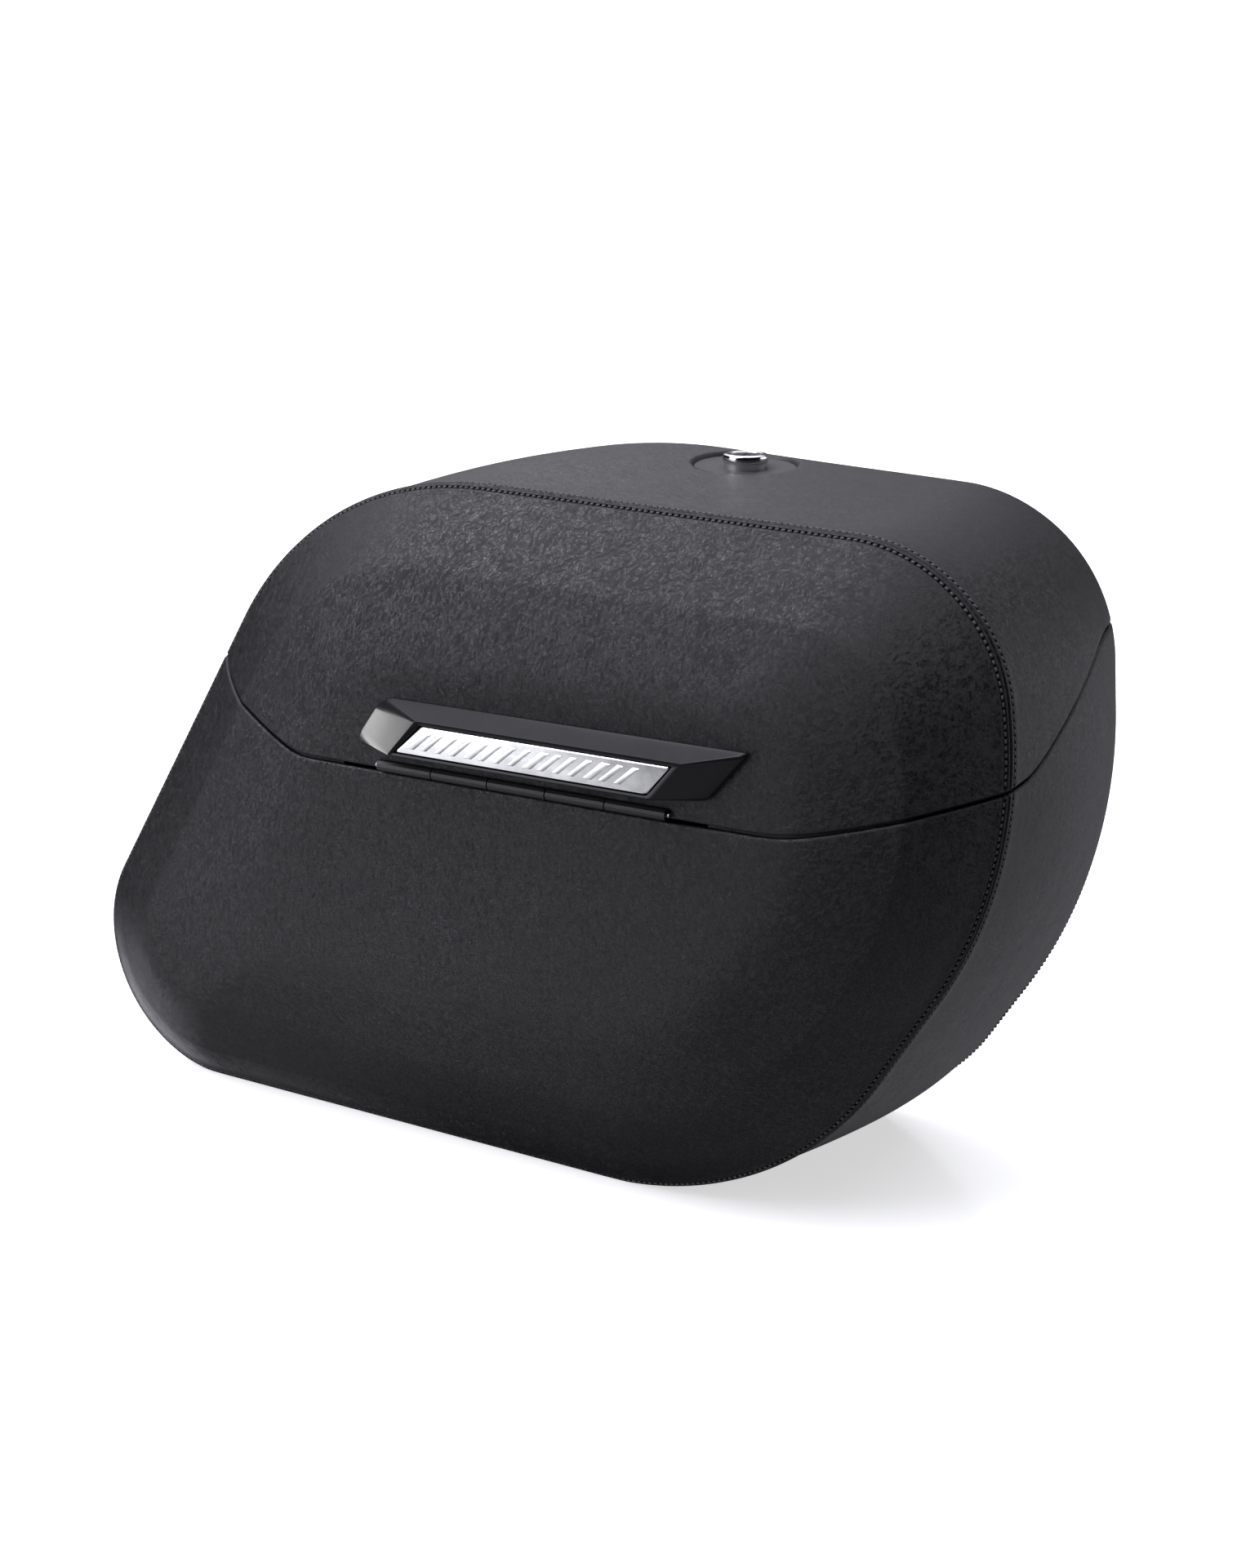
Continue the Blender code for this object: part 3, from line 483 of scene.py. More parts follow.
# ---------------------------------------------------------------- node materials
class Nodes:
    """A material's node tree with short calls to add and link nodes."""

    def __init__(self, name, colour, roughness, metallic=0.0):
        self.material = bpy.data.materials.new(name)
        self.material.use_nodes = True
        self.tree = self.material.node_tree
        self.shader = self.tree.nodes["Principled BSDF"]
        self.shader.inputs["Base Color"].default_value = (*colour, 1.0)
        self.shader.inputs["Roughness"].default_value = roughness
        self.shader.inputs["Metallic"].default_value = metallic

    def add(self, kind, links=None, **settings):
        node = self.tree.nodes.new(kind)
        for key, value in settings.items():
            setattr(node, key, value)
        for socket, value in (links or {}).items():
            self.put(node.inputs[socket], value)
        return node

    def put(self, socket, value):
        if isinstance(value, bpy.types.NodeSocket):
            self.tree.links.new(value, socket)
        else:
            socket.default_value = value

    def place(self):
        return self.add("ShaderNodeTexCoord").outputs["Object"]

    def math(self, operation, first, second=0.0, third=0.0):
        node = self.add("ShaderNodeMath", operation=operation)
        for socket, value in zip(node.inputs, (first, second, third)):
            self.put(socket, value)
        return node.outputs[0]

    def noise(self, scale, detail=2.0, roughness=0.5, vector=None, distortion=0.0):
        links = {"Scale": scale, "Detail": detail, "Roughness": roughness, "Distortion": distortion}
        links["Vector"] = vector or self.place()
        return self.add("ShaderNodeTexNoise", links).outputs["Fac"]

    def cells(self, scale, feature="F1", vector=None, output="Distance"):
        links = {"Scale": scale, "Vector": vector or self.place()}
        return self.add("ShaderNodeTexVoronoi", links, feature=feature).outputs[output]

    def span(self, value, low, high, to_low, to_high):
        links = {"Value": value, "From Min": low, "From Max": high, "To Min": to_low, "To Max": to_high}
        return self.add("ShaderNodeMapRange", links).outputs[0]

    def blend_colours(self, share, first, second):
        node = self.add("ShaderNodeMix", data_type="RGBA")
        self.put(node.inputs[0], share)
        for socket, value in ((node.inputs[6], first), (node.inputs[7], second)):
            self.put(socket, value if isinstance(value, bpy.types.NodeSocket) else (*value, 1.0))
        return node.outputs[2]

    def bump(self, height, strength, distance, after=None):
        links = {"Height": height, "Strength": strength, "Distance": distance * MM}
        if after is not None:
            links["Normal"] = after
        return self.add("ShaderNodeBump", links).outputs[0]

    def set(self, **inputs):
        for name, value in inputs.items():
            self.put(self.shader.inputs[name.replace("_", " ")], value)
        return self.material


def leather_material(name, grain, seamed):
    """Fine-grained black leather: pebbles with short creases, uneven gloss, puckers at stitches, with
    painted shade in the grain's valleys and in the stitch holes.
    """
    n = Nodes(name, (0.02, 0.02, 0.022), 0.5)
    place = n.place()
    links = {"Vector": place, "Scale": 160.0, "Detail": 2.0}
    bend = n.add("ShaderNodeTexNoise", links).outputs["Color"]
    warped = n.add("ShaderNodeVectorMath", {0: place, 1: bend}, operation="MULTIPLY_ADD")
    n.put(warped.inputs[1], (1.0, 1.0, 1.0))
    drift = n.add("ShaderNodeVectorMath", {0: bend}, operation="SCALE")
    n.put(drift.inputs["Scale"], 0.0016)
    n.put(warped.inputs[2], drift.outputs[0])
    pebble = n.cells(620.0, "DISTANCE_TO_EDGE", warped.outputs[0])
    pebbles = n.span(pebble, 0.0, 0.35, 0.0, 1.0)
    wrinkle = n.span(n.noise(560.0, 1.0, 0.5, warped.outputs[0]), 0.3, 0.7, 0.0, 1.0)
    height = n.math("ADD", n.math("MULTIPLY", pebbles, 0.45), n.math("MULTIPLY", wrinkle, 0.55))
    normal = n.bump(height, 1.0, grain)
    broad = n.noise(14.0, 3.0, 0.5)
    tone = n.blend_colours(broad, (0.0038, 0.0038, 0.0045), (0.0058, 0.0058, 0.0067))
    # The grain's valleys are painted darker than the ridges as painted shade; the same mask also makes them
    # rougher and less shiny.
    valley = n.span(height, 0.2, 0.75, 0.0, 1.0)
    tone = n.blend_colours(valley, (0.002, 0.002, 0.0024), tone)
    rough = n.span(n.noise(90.0, 3.0, 0.5), 0.3, 0.7, 0.33, 0.37)
    rough = n.math("ADD", rough, n.span(valley, 0.0, 1.0, 0.08, 0.0))
    shine = n.span(valley, 0.0, 1.0, 0.25, 0.65)
    if seamed:
        seam = n.add("ShaderNodeUVMap", uv_map="seam").outputs[0]
        parts = n.add("ShaderNodeSeparateXYZ", {0: seam})
        phase = n.math("FRACT", n.math("DIVIDE", parts.outputs[0], STITCH_PITCH))
        gap = n.math("ABSOLUTE", n.math("SUBTRACT", phase, 0.5))
        away = n.math("ABSOLUTE", n.math("SUBTRACT", parts.outputs[1], STITCH_ROW))
        in_row = n.span(away, 0.35, 0.8, 1.0, 0.0)
        hole = n.math("MULTIPLY", n.span(gap, 0.25, 0.45, 0.0, 1.0), in_row)
        normal = n.bump(n.math("SUBTRACT", 1.0, hole), 1.0, 0.9, normal)
        # The stitch holes are painted near black as painted shade, besides their dent and lower shine.
        tone = n.blend_colours(hole, tone, (0.001, 0.001, 0.001))
        shine = n.math("MULTIPLY", shine, n.math("SUBTRACT", 1.0, n.math("MULTIPLY", hole, 0.8)))
    return n.set(Base_Color=tone, Roughness=rough, Normal=normal, Specular_IOR_Level=shine)


def thread_material():
    n = Nodes("thread", (0.03, 0.03, 0.032), 0.42)
    links = {"Vector": n.place(), "Scale": 1800.0, "Distortion": 1.0}
    twist = n.add("ShaderNodeTexWave", links).outputs["Fac"]
    tone = n.blend_colours(twist, (0.02, 0.02, 0.022), (0.075, 0.075, 0.08))
    return n.set(Base_Color=tone, Normal=n.bump(twist, 0.6, 0.06), Sheen_Weight=0.3)


def plastic_material(name, colour, rough, grain, scale=900.0):
    n = Nodes(name, colour, rough)
    speckle = n.noise(scale, 3.0, 0.6)
    broad = n.noise(25.0, 3.0, 0.5)
    darker = tuple(c * 0.75 for c in colour)
    tone = n.blend_colours(broad, darker, colour)
    roughness = n.span(speckle, 0.2, 0.8, rough - 0.06, rough + 0.08)
    return n.set(Base_Color=tone, Roughness=roughness, Normal=n.bump(speckle, grain, 0.1))


def gloss_material():
    """Moulded gloss plastic with a faint orange peel."""
    n = Nodes("gloss_black", (0.011, 0.011, 0.012), 0.16)
    peel = n.noise(260.0, 1.0, 0.4)
    smudge = n.span(n.noise(60.0, 4.0, 0.6), 0.35, 0.7, 0.13, 0.24)
    n.set(Roughness=smudge, Normal=n.bump(peel, 0.05, 0.1))
    return n.set(Specular_IOR_Level=0.16, Coat_Weight=0.05, Coat_Roughness=0.06)


def metal_material(name, colour, rough, brush=0.0, stretch=(1.0, 1.0, 1.0), specks=0.0):
    n = Nodes(name, colour, rough, 1.0)
    mapping = n.add("ShaderNodeMapping", {"Vector": n.place(), "Scale": stretch})
    lines = n.noise(700.0, 4.0, 0.65, mapping.outputs[0])
    stain = n.noise(120.0, 3.0, 0.6)
    darker = tuple(c * (0.8 - 0.3 * specks) for c in colour)
    tone = n.blend_colours(n.span(stain, 0.35, 0.65, 0.0, 1.0), darker, colour)
    roughness = n.span(lines, 0.25, 0.75, max(rough - 0.05, 0.03), rough + 0.08)
    n.set(Base_Color=tone, Roughness=roughness)
    if brush:
        n.set(Normal=n.bump(lines, brush, 0.04))
    return n.material


def felt_material():
    n = Nodes("felt", (0.05, 0.05, 0.054), 0.95)
    fibre = n.noise(1500.0, 6.0, 0.75, distortion=1.5)
    clump = n.noise(160.0, 4.0, 0.6)
    tone = n.blend_colours(n.span(fibre, 0.3, 0.7, 0.0, 1.0), (0.02, 0.02, 0.022), (0.085, 0.085, 0.09))
    height = n.math("ADD", fibre, n.math("MULTIPLY", clump, 0.8))
    n.set(Base_Color=tone, Normal=n.bump(height, 0.9, 0.4))
    return n.set(Sheen_Weight=0.5, Sheen_Roughness=0.5)


def rubber_material(name="rubber", colour=(0.02, 0.02, 0.021)):
    n = Nodes(name, colour, 0.75)
    bloom = n.noise(80.0, 5.0, 0.65)
    tone = n.blend_colours(n.span(bloom, 0.4, 0.7, 0.0, 1.0), colour, tuple(c * 1.7 for c in colour))
    pore = n.cells(1400.0)
    roughness = n.span(bloom, 0.3, 0.7, 0.68, 0.85)
    return n.set(Base_Color=tone, Roughness=roughness, Normal=n.bump(pore, 0.25, 0.1))


BORDER_LEATHER = leather_material("leather_border", 0.07, True)
BAND_LEATHER = leather_material("leather_band", 0.055, True)
PLAIN_LEATHER = leather_material("leather_back", 0.06, False)
THREAD = thread_material()
LINER = plastic_material("liner", (0.03, 0.03, 0.032), 0.62, 0.5)
POWDER = plastic_material("powder_coat", (0.007, 0.007, 0.0075), 0.5, 0.35, 1400.0)
# Near-black finish for the dish round the lock: painted shade of the recess.
DISH_SHADE = plastic_material("lock_dish_painted_shade", (0.0025, 0.0025, 0.003), 0.55, 0.3, 1200.0)
GLOSS = gloss_material()
CHROME = metal_material("chrome", (0.88, 0.88, 0.89), 0.07)
SILVER = metal_material("silver_plate", (0.86, 0.865, 0.875), 0.3, 0.06, (0.15, 1.0, 1.0))
ZINC = metal_material("zinc_plate", (0.63, 0.63, 0.645), 0.34, 0.1, (1.0, 1.0, 1.0), 0.5)
FELT = felt_material()
RUBBER = rubber_material()
FOAM = rubber_material("foam", (0.016, 0.016, 0.017))
CABLE = plastic_material("cable_sleeve", (0.02, 0.02, 0.021), 0.4, 0.2, 2000.0)


# ---------------------------------------------------------------- leather skins
def outward_band(points):
    return np.stack([points[..., 0] - 210, np.zeros_like(points[..., 0]), points[..., 2] - 150], -1)


def outward_front(points):
    return np.stack([points[..., 0] * 0, points[..., 0] * 0 - 1.0, points[..., 0] * 0], -1)


def seam_run(steps):
    """Length along the front seam at each column, and once round."""
    seam = outline(FRONT_CORNERS, *steps)
    lengths = np.linalg.norm(np.roll(seam, -1, axis=0) - seam, axis=1)
    return np.concatenate([[0.0], np.cumsum(lengths)])


def front_surface():
    rows = front_rows(FINE)
    low = np.clip((95 - rows[25, :, 2]) / 60, 0, 1)
    crease = 5 + 16 + 10 + 4
    rows = smooth_rows(rows, crease - 2, crease + 2, 1)
    rows = smooth_rows(rows, crease - 9, crease + 9, 40, low)
    rows = smooth_rows(rows, crease + 7, crease + 17, 3)
    distance = run_from_start(rows) + 0.1
    normal = grid_normals(rows, outward_front)
    raised = seam_height(distance) + drape(rows, 0.12) * np.clip((distance - 6) / 20, 0, 1)
    rows = rows + normal * raised[..., None]
    rows[..., 2] = np.maximum(rows[..., 2], 0.0)
    return rows, distance, normal


def band_surface():
    rows = band_rows(FINE)
    distance = run_from_start(rows) + 0.1
    from_end = distance[-1][None] - distance
    normal = grid_normals(rows, outward_band)
    raised = seam_height(distance) + 0.85 * seam_height(from_end * 1.1)
    middle = np.clip((distance - 6) / 20, 0, 1) * np.clip((from_end - 6) / 20, 0, 1)
    flat_base = np.clip(rows[..., 2] / 12.0, 0, 1)
    raised = raised * (0.25 + 0.75 * flat_base) + drape(rows, 0.15) * middle * flat_base
    rows = rows + normal * raised[..., None]
    rows[..., 2] = np.maximum(rows[..., 2], 0.0)
    return rows, distance, normal


def back_surface():
    rows = back_rows(FINE)
    return rows, run_from_start(rows) + 20.0


def press_dish(bm):
    """The leather round the lock is pressed down into a dish, on a locally finer mesh; the dish's faces get
    a near-black second finish as painted shade.
    """
    def gap(co):
        x, y, _ = to_design(co)
        return math.hypot(x - LOCK_X, y - LOCK_Y)

    for _ in range(2):
        edges = [e for e in bm.edges if min(gap(v.co) for v in e.verts) < DISH_RADIUS + 4]
        edges = [e for e in edges if e.verts[0].co.z > TOP_LEVEL * MM]
        bmesh.ops.subdivide_edges(bm, edges=edges, cuts=1, use_grid_fill=True)
    middles = [(f, f.calc_center_median()) for f in bm.faces]
    hidden = [f for f, middle in middles if middle.z > TOP_LEVEL * MM and gap(middle) < LOCK_HOLE]
    bmesh.ops.delete(bm, geom=hidden, context="FACES")
    for v in bm.verts:
        reach = gap(v.co)
        if v.co.z > TOP_LEVEL * MM and reach < DISH_RADIUS:
            t = min((DISH_RADIUS - reach) / (DISH_RADIUS - DISH_FLOOR_RADIUS), 1.0)
            v.co.z -= DISH_DEPTH * MM * t * t * (3 - 2 * t)
    # Faces inside the dish take the second, near-black finish: painted shade.
    for face in bm.faces:
        centre = face.calc_center_median()
        face.material_index = int(centre.z > TOP_LEVEL * MM and gap(centre) < DISH_RADIUS - 1.2)


def make_skin(name, rows, distance, along, body, finish, replaced, outward, close_end, dish=False):
    side = 1 if body == "lid" else -1
    bm = grid_mesh(rows, along, distance, close_end)
    face_outward(bm, outward)
    smooth_normal = normal_lookup(bm)
    edges = keep_side(bm, side, PARTING_GAP + EDGE_ROLL)
    roll_edge(bm, edges, side, EDGE_ROLL, 1.1, smooth_normal)
    if dish:
        press_dish(bm)
    skin = finish_object(name, bm, body, finish, replaced)
    if dish:
        skin.data.materials.append(DISH_SHADE)
    solidify(skin, LEATHER)


def make_skins():
    along = seam_run(FINE)
    front, front_distance, front_normal = front_surface()
    band, band_distance, band_normal = band_surface()
    back, back_distance = back_surface()
    for body in ("case", "lid"):
        extra = ("lock_cup",) if body == "lid" else ()
        make_skin(
            f"{body}_front_leather", front, front_distance, along, body, BORDER_LEATHER,
            (f"{body}_front_cover",), lambda co: Vector((0, -1, 0)), True,
        )
        make_skin(
            f"{body}_band_leather", band, band_distance, along, body, BAND_LEATHER,
            (f"{body}_band_cover", *extra), from_core_flat, False, body == "lid",
        )
        make_skin(
            f"{body}_back_leather", back, back_distance, along, body, PLAIN_LEATHER,
            (f"{body}_back_cover",), lambda co: Vector((0, 1, 0)), True,
        )
    make_stitches("front", front, front_distance, front_normal, along)
    make_stitches("band", band, band_distance, band_normal, along)
    make_edge_stitches()


def from_core_flat(co):
    return Vector((co.x, 0, co.z - 0.15))


# ---------------------------------------------------------------- stitches
def capsule(bm, start, end, radius, lift, sides=8):
    """A short thread with round ends from start to end, arched by lift (a vector) in the middle."""
    run = end - start
    axis = run.normalized()
    side = axis.orthogonal().normalized()
    other = axis.cross(side)
    shares = (0.0, 0.06, 0.2, 0.5, 0.8, 0.94, 1.0)
    widths = (0.0, 0.62, 0.95, 1.0, 0.95, 0.62, 0.0)
    rings = []
    for share, width in zip(shares, widths):
        middle = start + run * share + lift * (4 * share * (1 - share))
        if width == 0.0:
            rings.append([bm.verts.new(middle)])
            continue
        turned = []
        for k in range(sides):
            angle = 2 * math.pi * k / sides
            around = side * math.cos(angle) + other * math.sin(angle)
            turned.append(bm.verts.new(middle + around * radius * width))
        rings.append(turned)
    for low, high in zip(rings, rings[1:]):
        for k in range(sides):
            m = (k + 1) % sides
            if len(low) == 1:
                bm.faces.new((low[0], high[k], high[m]))
            elif len(high) == 1:
                bm.faces.new((low[k], high[0], low[m]))
            else:
                bm.faces.new((low[k], high[k], high[m], low[m]))


def column_crossing(rows, distance, value):
    """Where each column reaches a distance: the point between its two rings."""
    index = np.argmax(distance > value, axis=0)
    columns = np.arange(rows.shape[1])
    low, high = distance[index - 1, columns], distance[index, columns]
    share = ((value - low) / (high - low))[:, None]
    return rows[index - 1, columns] * (1 - share) + rows[index, columns] * share


def at_run(points, along, run):
    """The point at a length along the closed row of column points."""
    closed = np.concatenate([points, points[:1]])
    return np.array([np.interp(run, along, closed[:, k]) for k in range(3)]).T


def make_stitches(label, rows, distance, normal, along):
    line = column_crossing(rows, distance, STITCH_ROW)
    upright = column_crossing(normal, distance, STITCH_ROW)
    count = int(along[-1] / STITCH_PITCH)
    middles = (np.arange(count) + 0.5) * STITCH_PITCH
    half = 0.36 * STITCH_PITCH
    starts, ends = at_run(line, along, middles - half), at_run(line, along, middles + half)
    ups = at_run(upright, along, middles)
    meshes = {"case": bmesh.new(), "lid": bmesh.new()}
    for start, end, up in zip(starts, ends, ups):
        x, y, z = (start + end) / 2
        level = z - float(parting_height(np.array(x), np.array(y)))
        if abs(level) < STITCH_FREE or z < STITCH_FLOOR:
            continue
        raised = Vector(up).normalized() * MM
        a = Vector(to_row(start)) - raised * 0.12
        b = Vector(to_row(end)) - raised * 0.12
        capsule(meshes["lid" if level > 0 else "case"], a, b, STITCH_RADIUS * MM, raised * 0.42)
    for body, bm in meshes.items():
        finish_object(f"{body}_{label}_stitches", bm, body, THREAD, ())


def make_edge_stitches():
    """Thread wrapped over the back edge, where the back panel is sewn to the band."""
    edge = outline(band_corners(DEPTH), *FINE)
    outward = edge_normals(edge)
    lengths = np.linalg.norm(np.roll(edge, -1, axis=0) - edge, axis=1)
    run = np.concatenate([[0.0], np.cumsum(lengths)])
    meshes = {"case": bmesh.new(), "lid": bmesh.new()}
    closed_edge = np.concatenate([edge, edge[:1]])
    closed_out = np.concatenate([outward, outward[:1]])
    for middle in np.arange(EDGE_STITCH_PITCH / 2, run[-1], EDGE_STITCH_PITCH):
        x, z = (np.interp(middle, run, closed_edge[:, k]) for k in range(2))
        nx, nz = (np.interp(middle, run, closed_out[:, k]) for k in range(2))
        level = z - PARTING_BACK
        if abs(level) < STITCH_FREE or z < STITCH_FLOOR:
            continue
        over = Vector(at(x + 0.35 * nx, 127.0, z + 0.35 * nz))
        under = Vector(at(x - 2.2 * nx, 130.1, z - 2.2 * nz))
        lift = Vector((nx, 0.8, nz)) * MM * 1.25
        capsule(meshes["lid" if level > 0 else "case"], over, under, EDGE_STITCH_RADIUS * MM, lift, 6)
    for body, bm in meshes.items():
        finish_object(f"{body}_edge_stitches", bm, body, THREAD, ())


# ---------------------------------------------------------------- liner and gasket
def inside_surface(inset):
    """The whole closed surface moved inwards, on coarser rings."""
    front = front_rows(COARSE, dense=False)[::-1]
    band = band_rows(COARSE, dense=False)[1:]
    back_edge = outline(band_corners(DEPTH), *COARSE)
    middle = back_edge.mean(axis=0)
    back = []
    for share in (0.985, 0.9, 0.75, 0.55, 0.35, 0.15):
        back.append(np.insert(middle + (back_edge - middle) * share, 1, DEPTH, axis=1))
    rows = np.concatenate([front[:-1], band, np.array(back)])
    bm = bmesh.new()
    loft(bm, [[bm.verts.new(p) for p in ring_points] for ring_points in to_row(rows)])
    bm.normal_update()
    moves = [(v, v.normal.copy(), min(v.calc_shell_factor(), 1.5)) for v in bm.verts]
    for v, normal, factor in moves:
        v.co -= normal * factor * inset * MM
    bm.normal_update()
    return bm


def make_liner(body):
    side = 1 if body == "lid" else -1
    bm = inside_surface(SHELL_INSET)
    keep_side(bm, side, RIM_GAP)
    liner = finish_object(f"{body}_liner", bm, body, LINER, (f"{body}_shell",))
    solidify(liner, SHELL_WALL, even=True)


def make_gasket():
    """The foam strip seated on the case's rim, with a rounded top."""
    bm = inside_surface(SHELL_INSET + 1.6)
    keep_side(bm, -1, 0.0)
    bmesh.ops.delete(bm, geom=bm.faces[:], context="FACES_KEEP_BOUNDARY")
    line = ordered_loop(bm)
    bm.free()

    def at_hinge(spot):
        return HINGE_LEFT - GASKET_FREE < spot[0] < HINGE_RIGHT + GASKET_FREE and spot[1] < -30

    start = next(i for i, p in enumerate(line) if at_hinge(p))
    kept = [p for p in line[start:] + line[:start] if not at_hinge(p)]
    profile = [
        (-1.0, -1.7), (1.0, -1.7), (1.05, 0.5), (0.75, 1.1), (0.0, 1.4), (-0.75, 1.1), (-1.05, 0.5),
    ]
    sweep = bmesh.new()
    rings = []
    centre = np.array([225.0, 40.0])
    for i, p in enumerate(kept):
        before, after = kept[max(i - 1, 0)], kept[min(i + 1, len(kept) - 1)]
        run = np.array([after[0] - before[0], after[1] - before[1]])
        out = np.array([run[1], -run[0]]) / (np.linalg.norm(run) + 1e-9)
        if out @ (np.array(p[:2]) - centre) < 0:
            out = -out
        spots = [at(p[0] + out[0] * u, p[1] + out[1] * u, p[2] + w) for u, w in profile]
        rings.append([sweep.verts.new(spot) for spot in spots])
    loft(sweep, rings)
    finish_object("rim_gasket_strip", sweep, "case", FOAM, ("rim_gasket",))


def ordered_loop(bm):
    """The points of the single closed wire in bm, in order, in design millimetres."""
    bm.verts.ensure_lookup_table()
    start = next(v for v in bm.verts if len(v.link_edges) == 2)
    loop = [start]
    edge = start.link_edges[0]
    while True:
        following = edge.other_vert(loop[-1])
        if following is start:
            return [to_design(v.co) for v in loop]
        loop.append(following)
        edge = next(e for e in following.link_edges if e is not edge)


# ---------------------------------------------------------------- turned pieces
def lathe(name, profile, base, direction, body, finish, replaced=(), steps=64):
    """Revolves a closed profile of (radius, height) about the line from base along direction."""
    bm = bmesh.new()
    turn = Vector((0, 0, 1)).rotation_difference(Vector(direction)).to_matrix()
    origin = at(*base)
    columns = []
    for k in range(steps):
        angle = 2 * math.pi * k / steps
        column = []
        for radius, height in profile:
            spot = Vector((radius * math.cos(angle), radius * math.sin(angle), height)) * MM
            column.append(bm.verts.new(origin + turn @ spot))
        columns.append(column)
    count = len(profile)
    for k in range(steps):
        first, second = columns[k], columns[(k + 1) % steps]
        for j in range(count):
            m = (j + 1) % count
            bm.faces.new((first[j], second[j], second[m], first[m]))
    bmesh.ops.remove_doubles(bm, verts=bm.verts, dist=0.00001)
    bmesh.ops.recalc_face_normals(bm, faces=bm.faces)
    obj = finish_object(name, bm, body, finish, replaced)
    obj.data.set_sharp_from_angle(angle=math.radians(32))
    return obj


def rounded(profile, radius, segments=4):
    """A closed profile with each corner rounded by up to radius."""
    points = [Vector(p) for p in profile]
    out = []
    for i, corner in enumerate(points):
        before, after = points[i - 1] - corner, points[(i + 1) % len(points)] - corner
        reach = min(radius, before.length * 0.45, after.length * 0.45)
        start, end = corner + before.normalized() * reach, corner + after.normalized() * reach
        for k in range(segments + 1):
            t = k / segments
            out.append(tuple(start * (1 - t) ** 2 + corner * 2 * t * (1 - t) + end * t * t))
    return out


def cut_with(obj, *cutters):
    for cutter in cutters:
        step = obj.modifiers.new("cut", "BOOLEAN")
        step.operation = "DIFFERENCE"
        step.object = cutter
        step.solver = "EXACT"
    bpy.context.view_layer.update()
    apply_modifiers(obj)
    for cutter in cutters:
        bpy.data.objects.remove(cutter, do_unlink=True)


def cutter_object(bm):
    mesh = bpy.data.meshes.new("cutter")
    bm.to_mesh(mesh)
    bm.free()
    obj = bpy.data.objects.new("cutter", mesh)
    bpy.context.scene.collection.objects.link(obj)
    return obj


def block(low, high):
    bm = bmesh.new()
    bmesh.ops.create_cube(bm, size=1.0)
    size = [(b - a) * MM for a, b in zip(low, high)]
    bmesh.ops.scale(bm, vec=size, verts=bm.verts)
    bmesh.ops.translate(bm, vec=at(*[(a + b) / 2 for a, b in zip(low, high)]), verts=bm.verts)
    return cutter_object(bm)


def drill(x, y, low, high, radius):
    bm = bmesh.new()
    wide, deep = radius * MM, (high - low) * MM
    bmesh.ops.create_cone(bm, cap_ends=True, segments=20, radius1=wide, radius2=wide, depth=deep)
    bmesh.ops.translate(bm, vec=at(x, y, (low + high) / 2), verts=bm.verts)
    return cutter_object(bm)


def make_lock():
    top, floor = LOCK_TOP, LOCK_FLOOR
    centre = (LOCK_X, LOCK_Y, 0)
    housing = [
        (7.0, top - 0.2), (8.4, top), (9.6, top - 0.35), (10.0, top - 1.2), (10.0, top - 3.4),
        (9.6, top - 3.8), (9.6, floor - 3.6), (8.6, floor - 3.6), (8.6, floor - 17),
        (6.7, floor - 17), (6.7, top - 0.5),
    ]
    up = (0, 0, 1)
    barrel = rounded(housing, 0.35, 3)
    lathe("lock_barrel", barrel, centre, up, "lid", CHROME, ("lock_housing",), 72)
    plug = [(0.0, top - 0.5), (5.9, top - 0.5), (6.4, top - 1.0), (6.4, floor - 19.0), (0.0, floor - 19.0)]
    face = lathe("lock_face", plug, centre, up, "lock", CHROME, ("lock_plug",), 72)
    slot_cutter = block((LOCK_X - 0.7, LOCK_Y - 3.6, top - 6), (LOCK_X + 0.7, LOCK_Y + 3.6, top + 1))
    dots = [drill(LOCK_X + side * 2.6, LOCK_Y - 1.5, top - 2.5, top + 1, 0.75) for side in (-1, 1)]
    cut_with(face, slot_cutter, *dots)
    face.data.shade_smooth()
    face.data.set_sharp_from_angle(angle=math.radians(32))


def make_mount_hardware():
    number = 0
    for z in (100.0, 180.0):
        for x in (150.0, 330.0):
            number += 1
            pad = [(14.0, 130.3), (6.2, 130.3), (6.2, PAD_FACE), (12.8, PAD_FACE), (14.0, PAD_FACE - 1.2)]
            lathe(
                f"rubber_pad_{number}", rounded(pad, 0.7), (x, 0, z), (0, 1, 0), "case", RUBBER,
                (f"mount_pad_{number}",), 56,
            )
            sleeve = [(9.0, 122.15), (9.0, 120.6), (3.4, 120.6)]
            for k in range(15):
                y = 121.2 + k * 0.6
                sleeve += [(3.4, y), (3.75, y + 0.3)]
            sleeve += [(3.4, 130.6), (3.9, 131.2), (5.5, 131.2), (5.5, 122.15)]
            lathe(
                f"threaded_insert_{number}", sleeve, (x, 0, z), (0, 1, 0), "case", ZINC,
                (f"mount_insert_{number}",), 48,
            )


# ---------------------------------------------------------------- badge
def polygon_block(name, outlines, body, finish, replaced, bevel, segments=3):
    """A solid lofted through outlines of (points, y), each the same length, with rounded edges."""
    bm = bmesh.new()
    loft(bm, [[bm.verts.new(at(x, y, z)) for x, z in points] for points, y in outlines])
    obj = finish_object(name, bm, body, finish, replaced)
    edges = obj.modifiers.new("edges", "BEVEL")
    edges.width = bevel * MM
    edges.segments = segments
    edges.limit_method = "ANGLE"
    edges.angle_limit = math.radians(24)
    edges.harden_normals = False
    return obj


def soft_corners(points, radii):
    """A polygon with every corner replaced by a curve of five points of its own size."""
    out = []
    spots = [Vector(p) for p in points]
    for i, corner in enumerate(spots):
        before = (spots[i - 1] - corner).normalized()
        after = (spots[(i + 1) % len(spots)] - corner).normalized()
        for k in range(5):
            t = k / 4
            a, b = corner + before * radii[i], corner + after * radii[i]
            out.append(tuple(a * (1 - t) ** 2 + corner * 2 * t * (1 - t) + b * t * t))
    return out


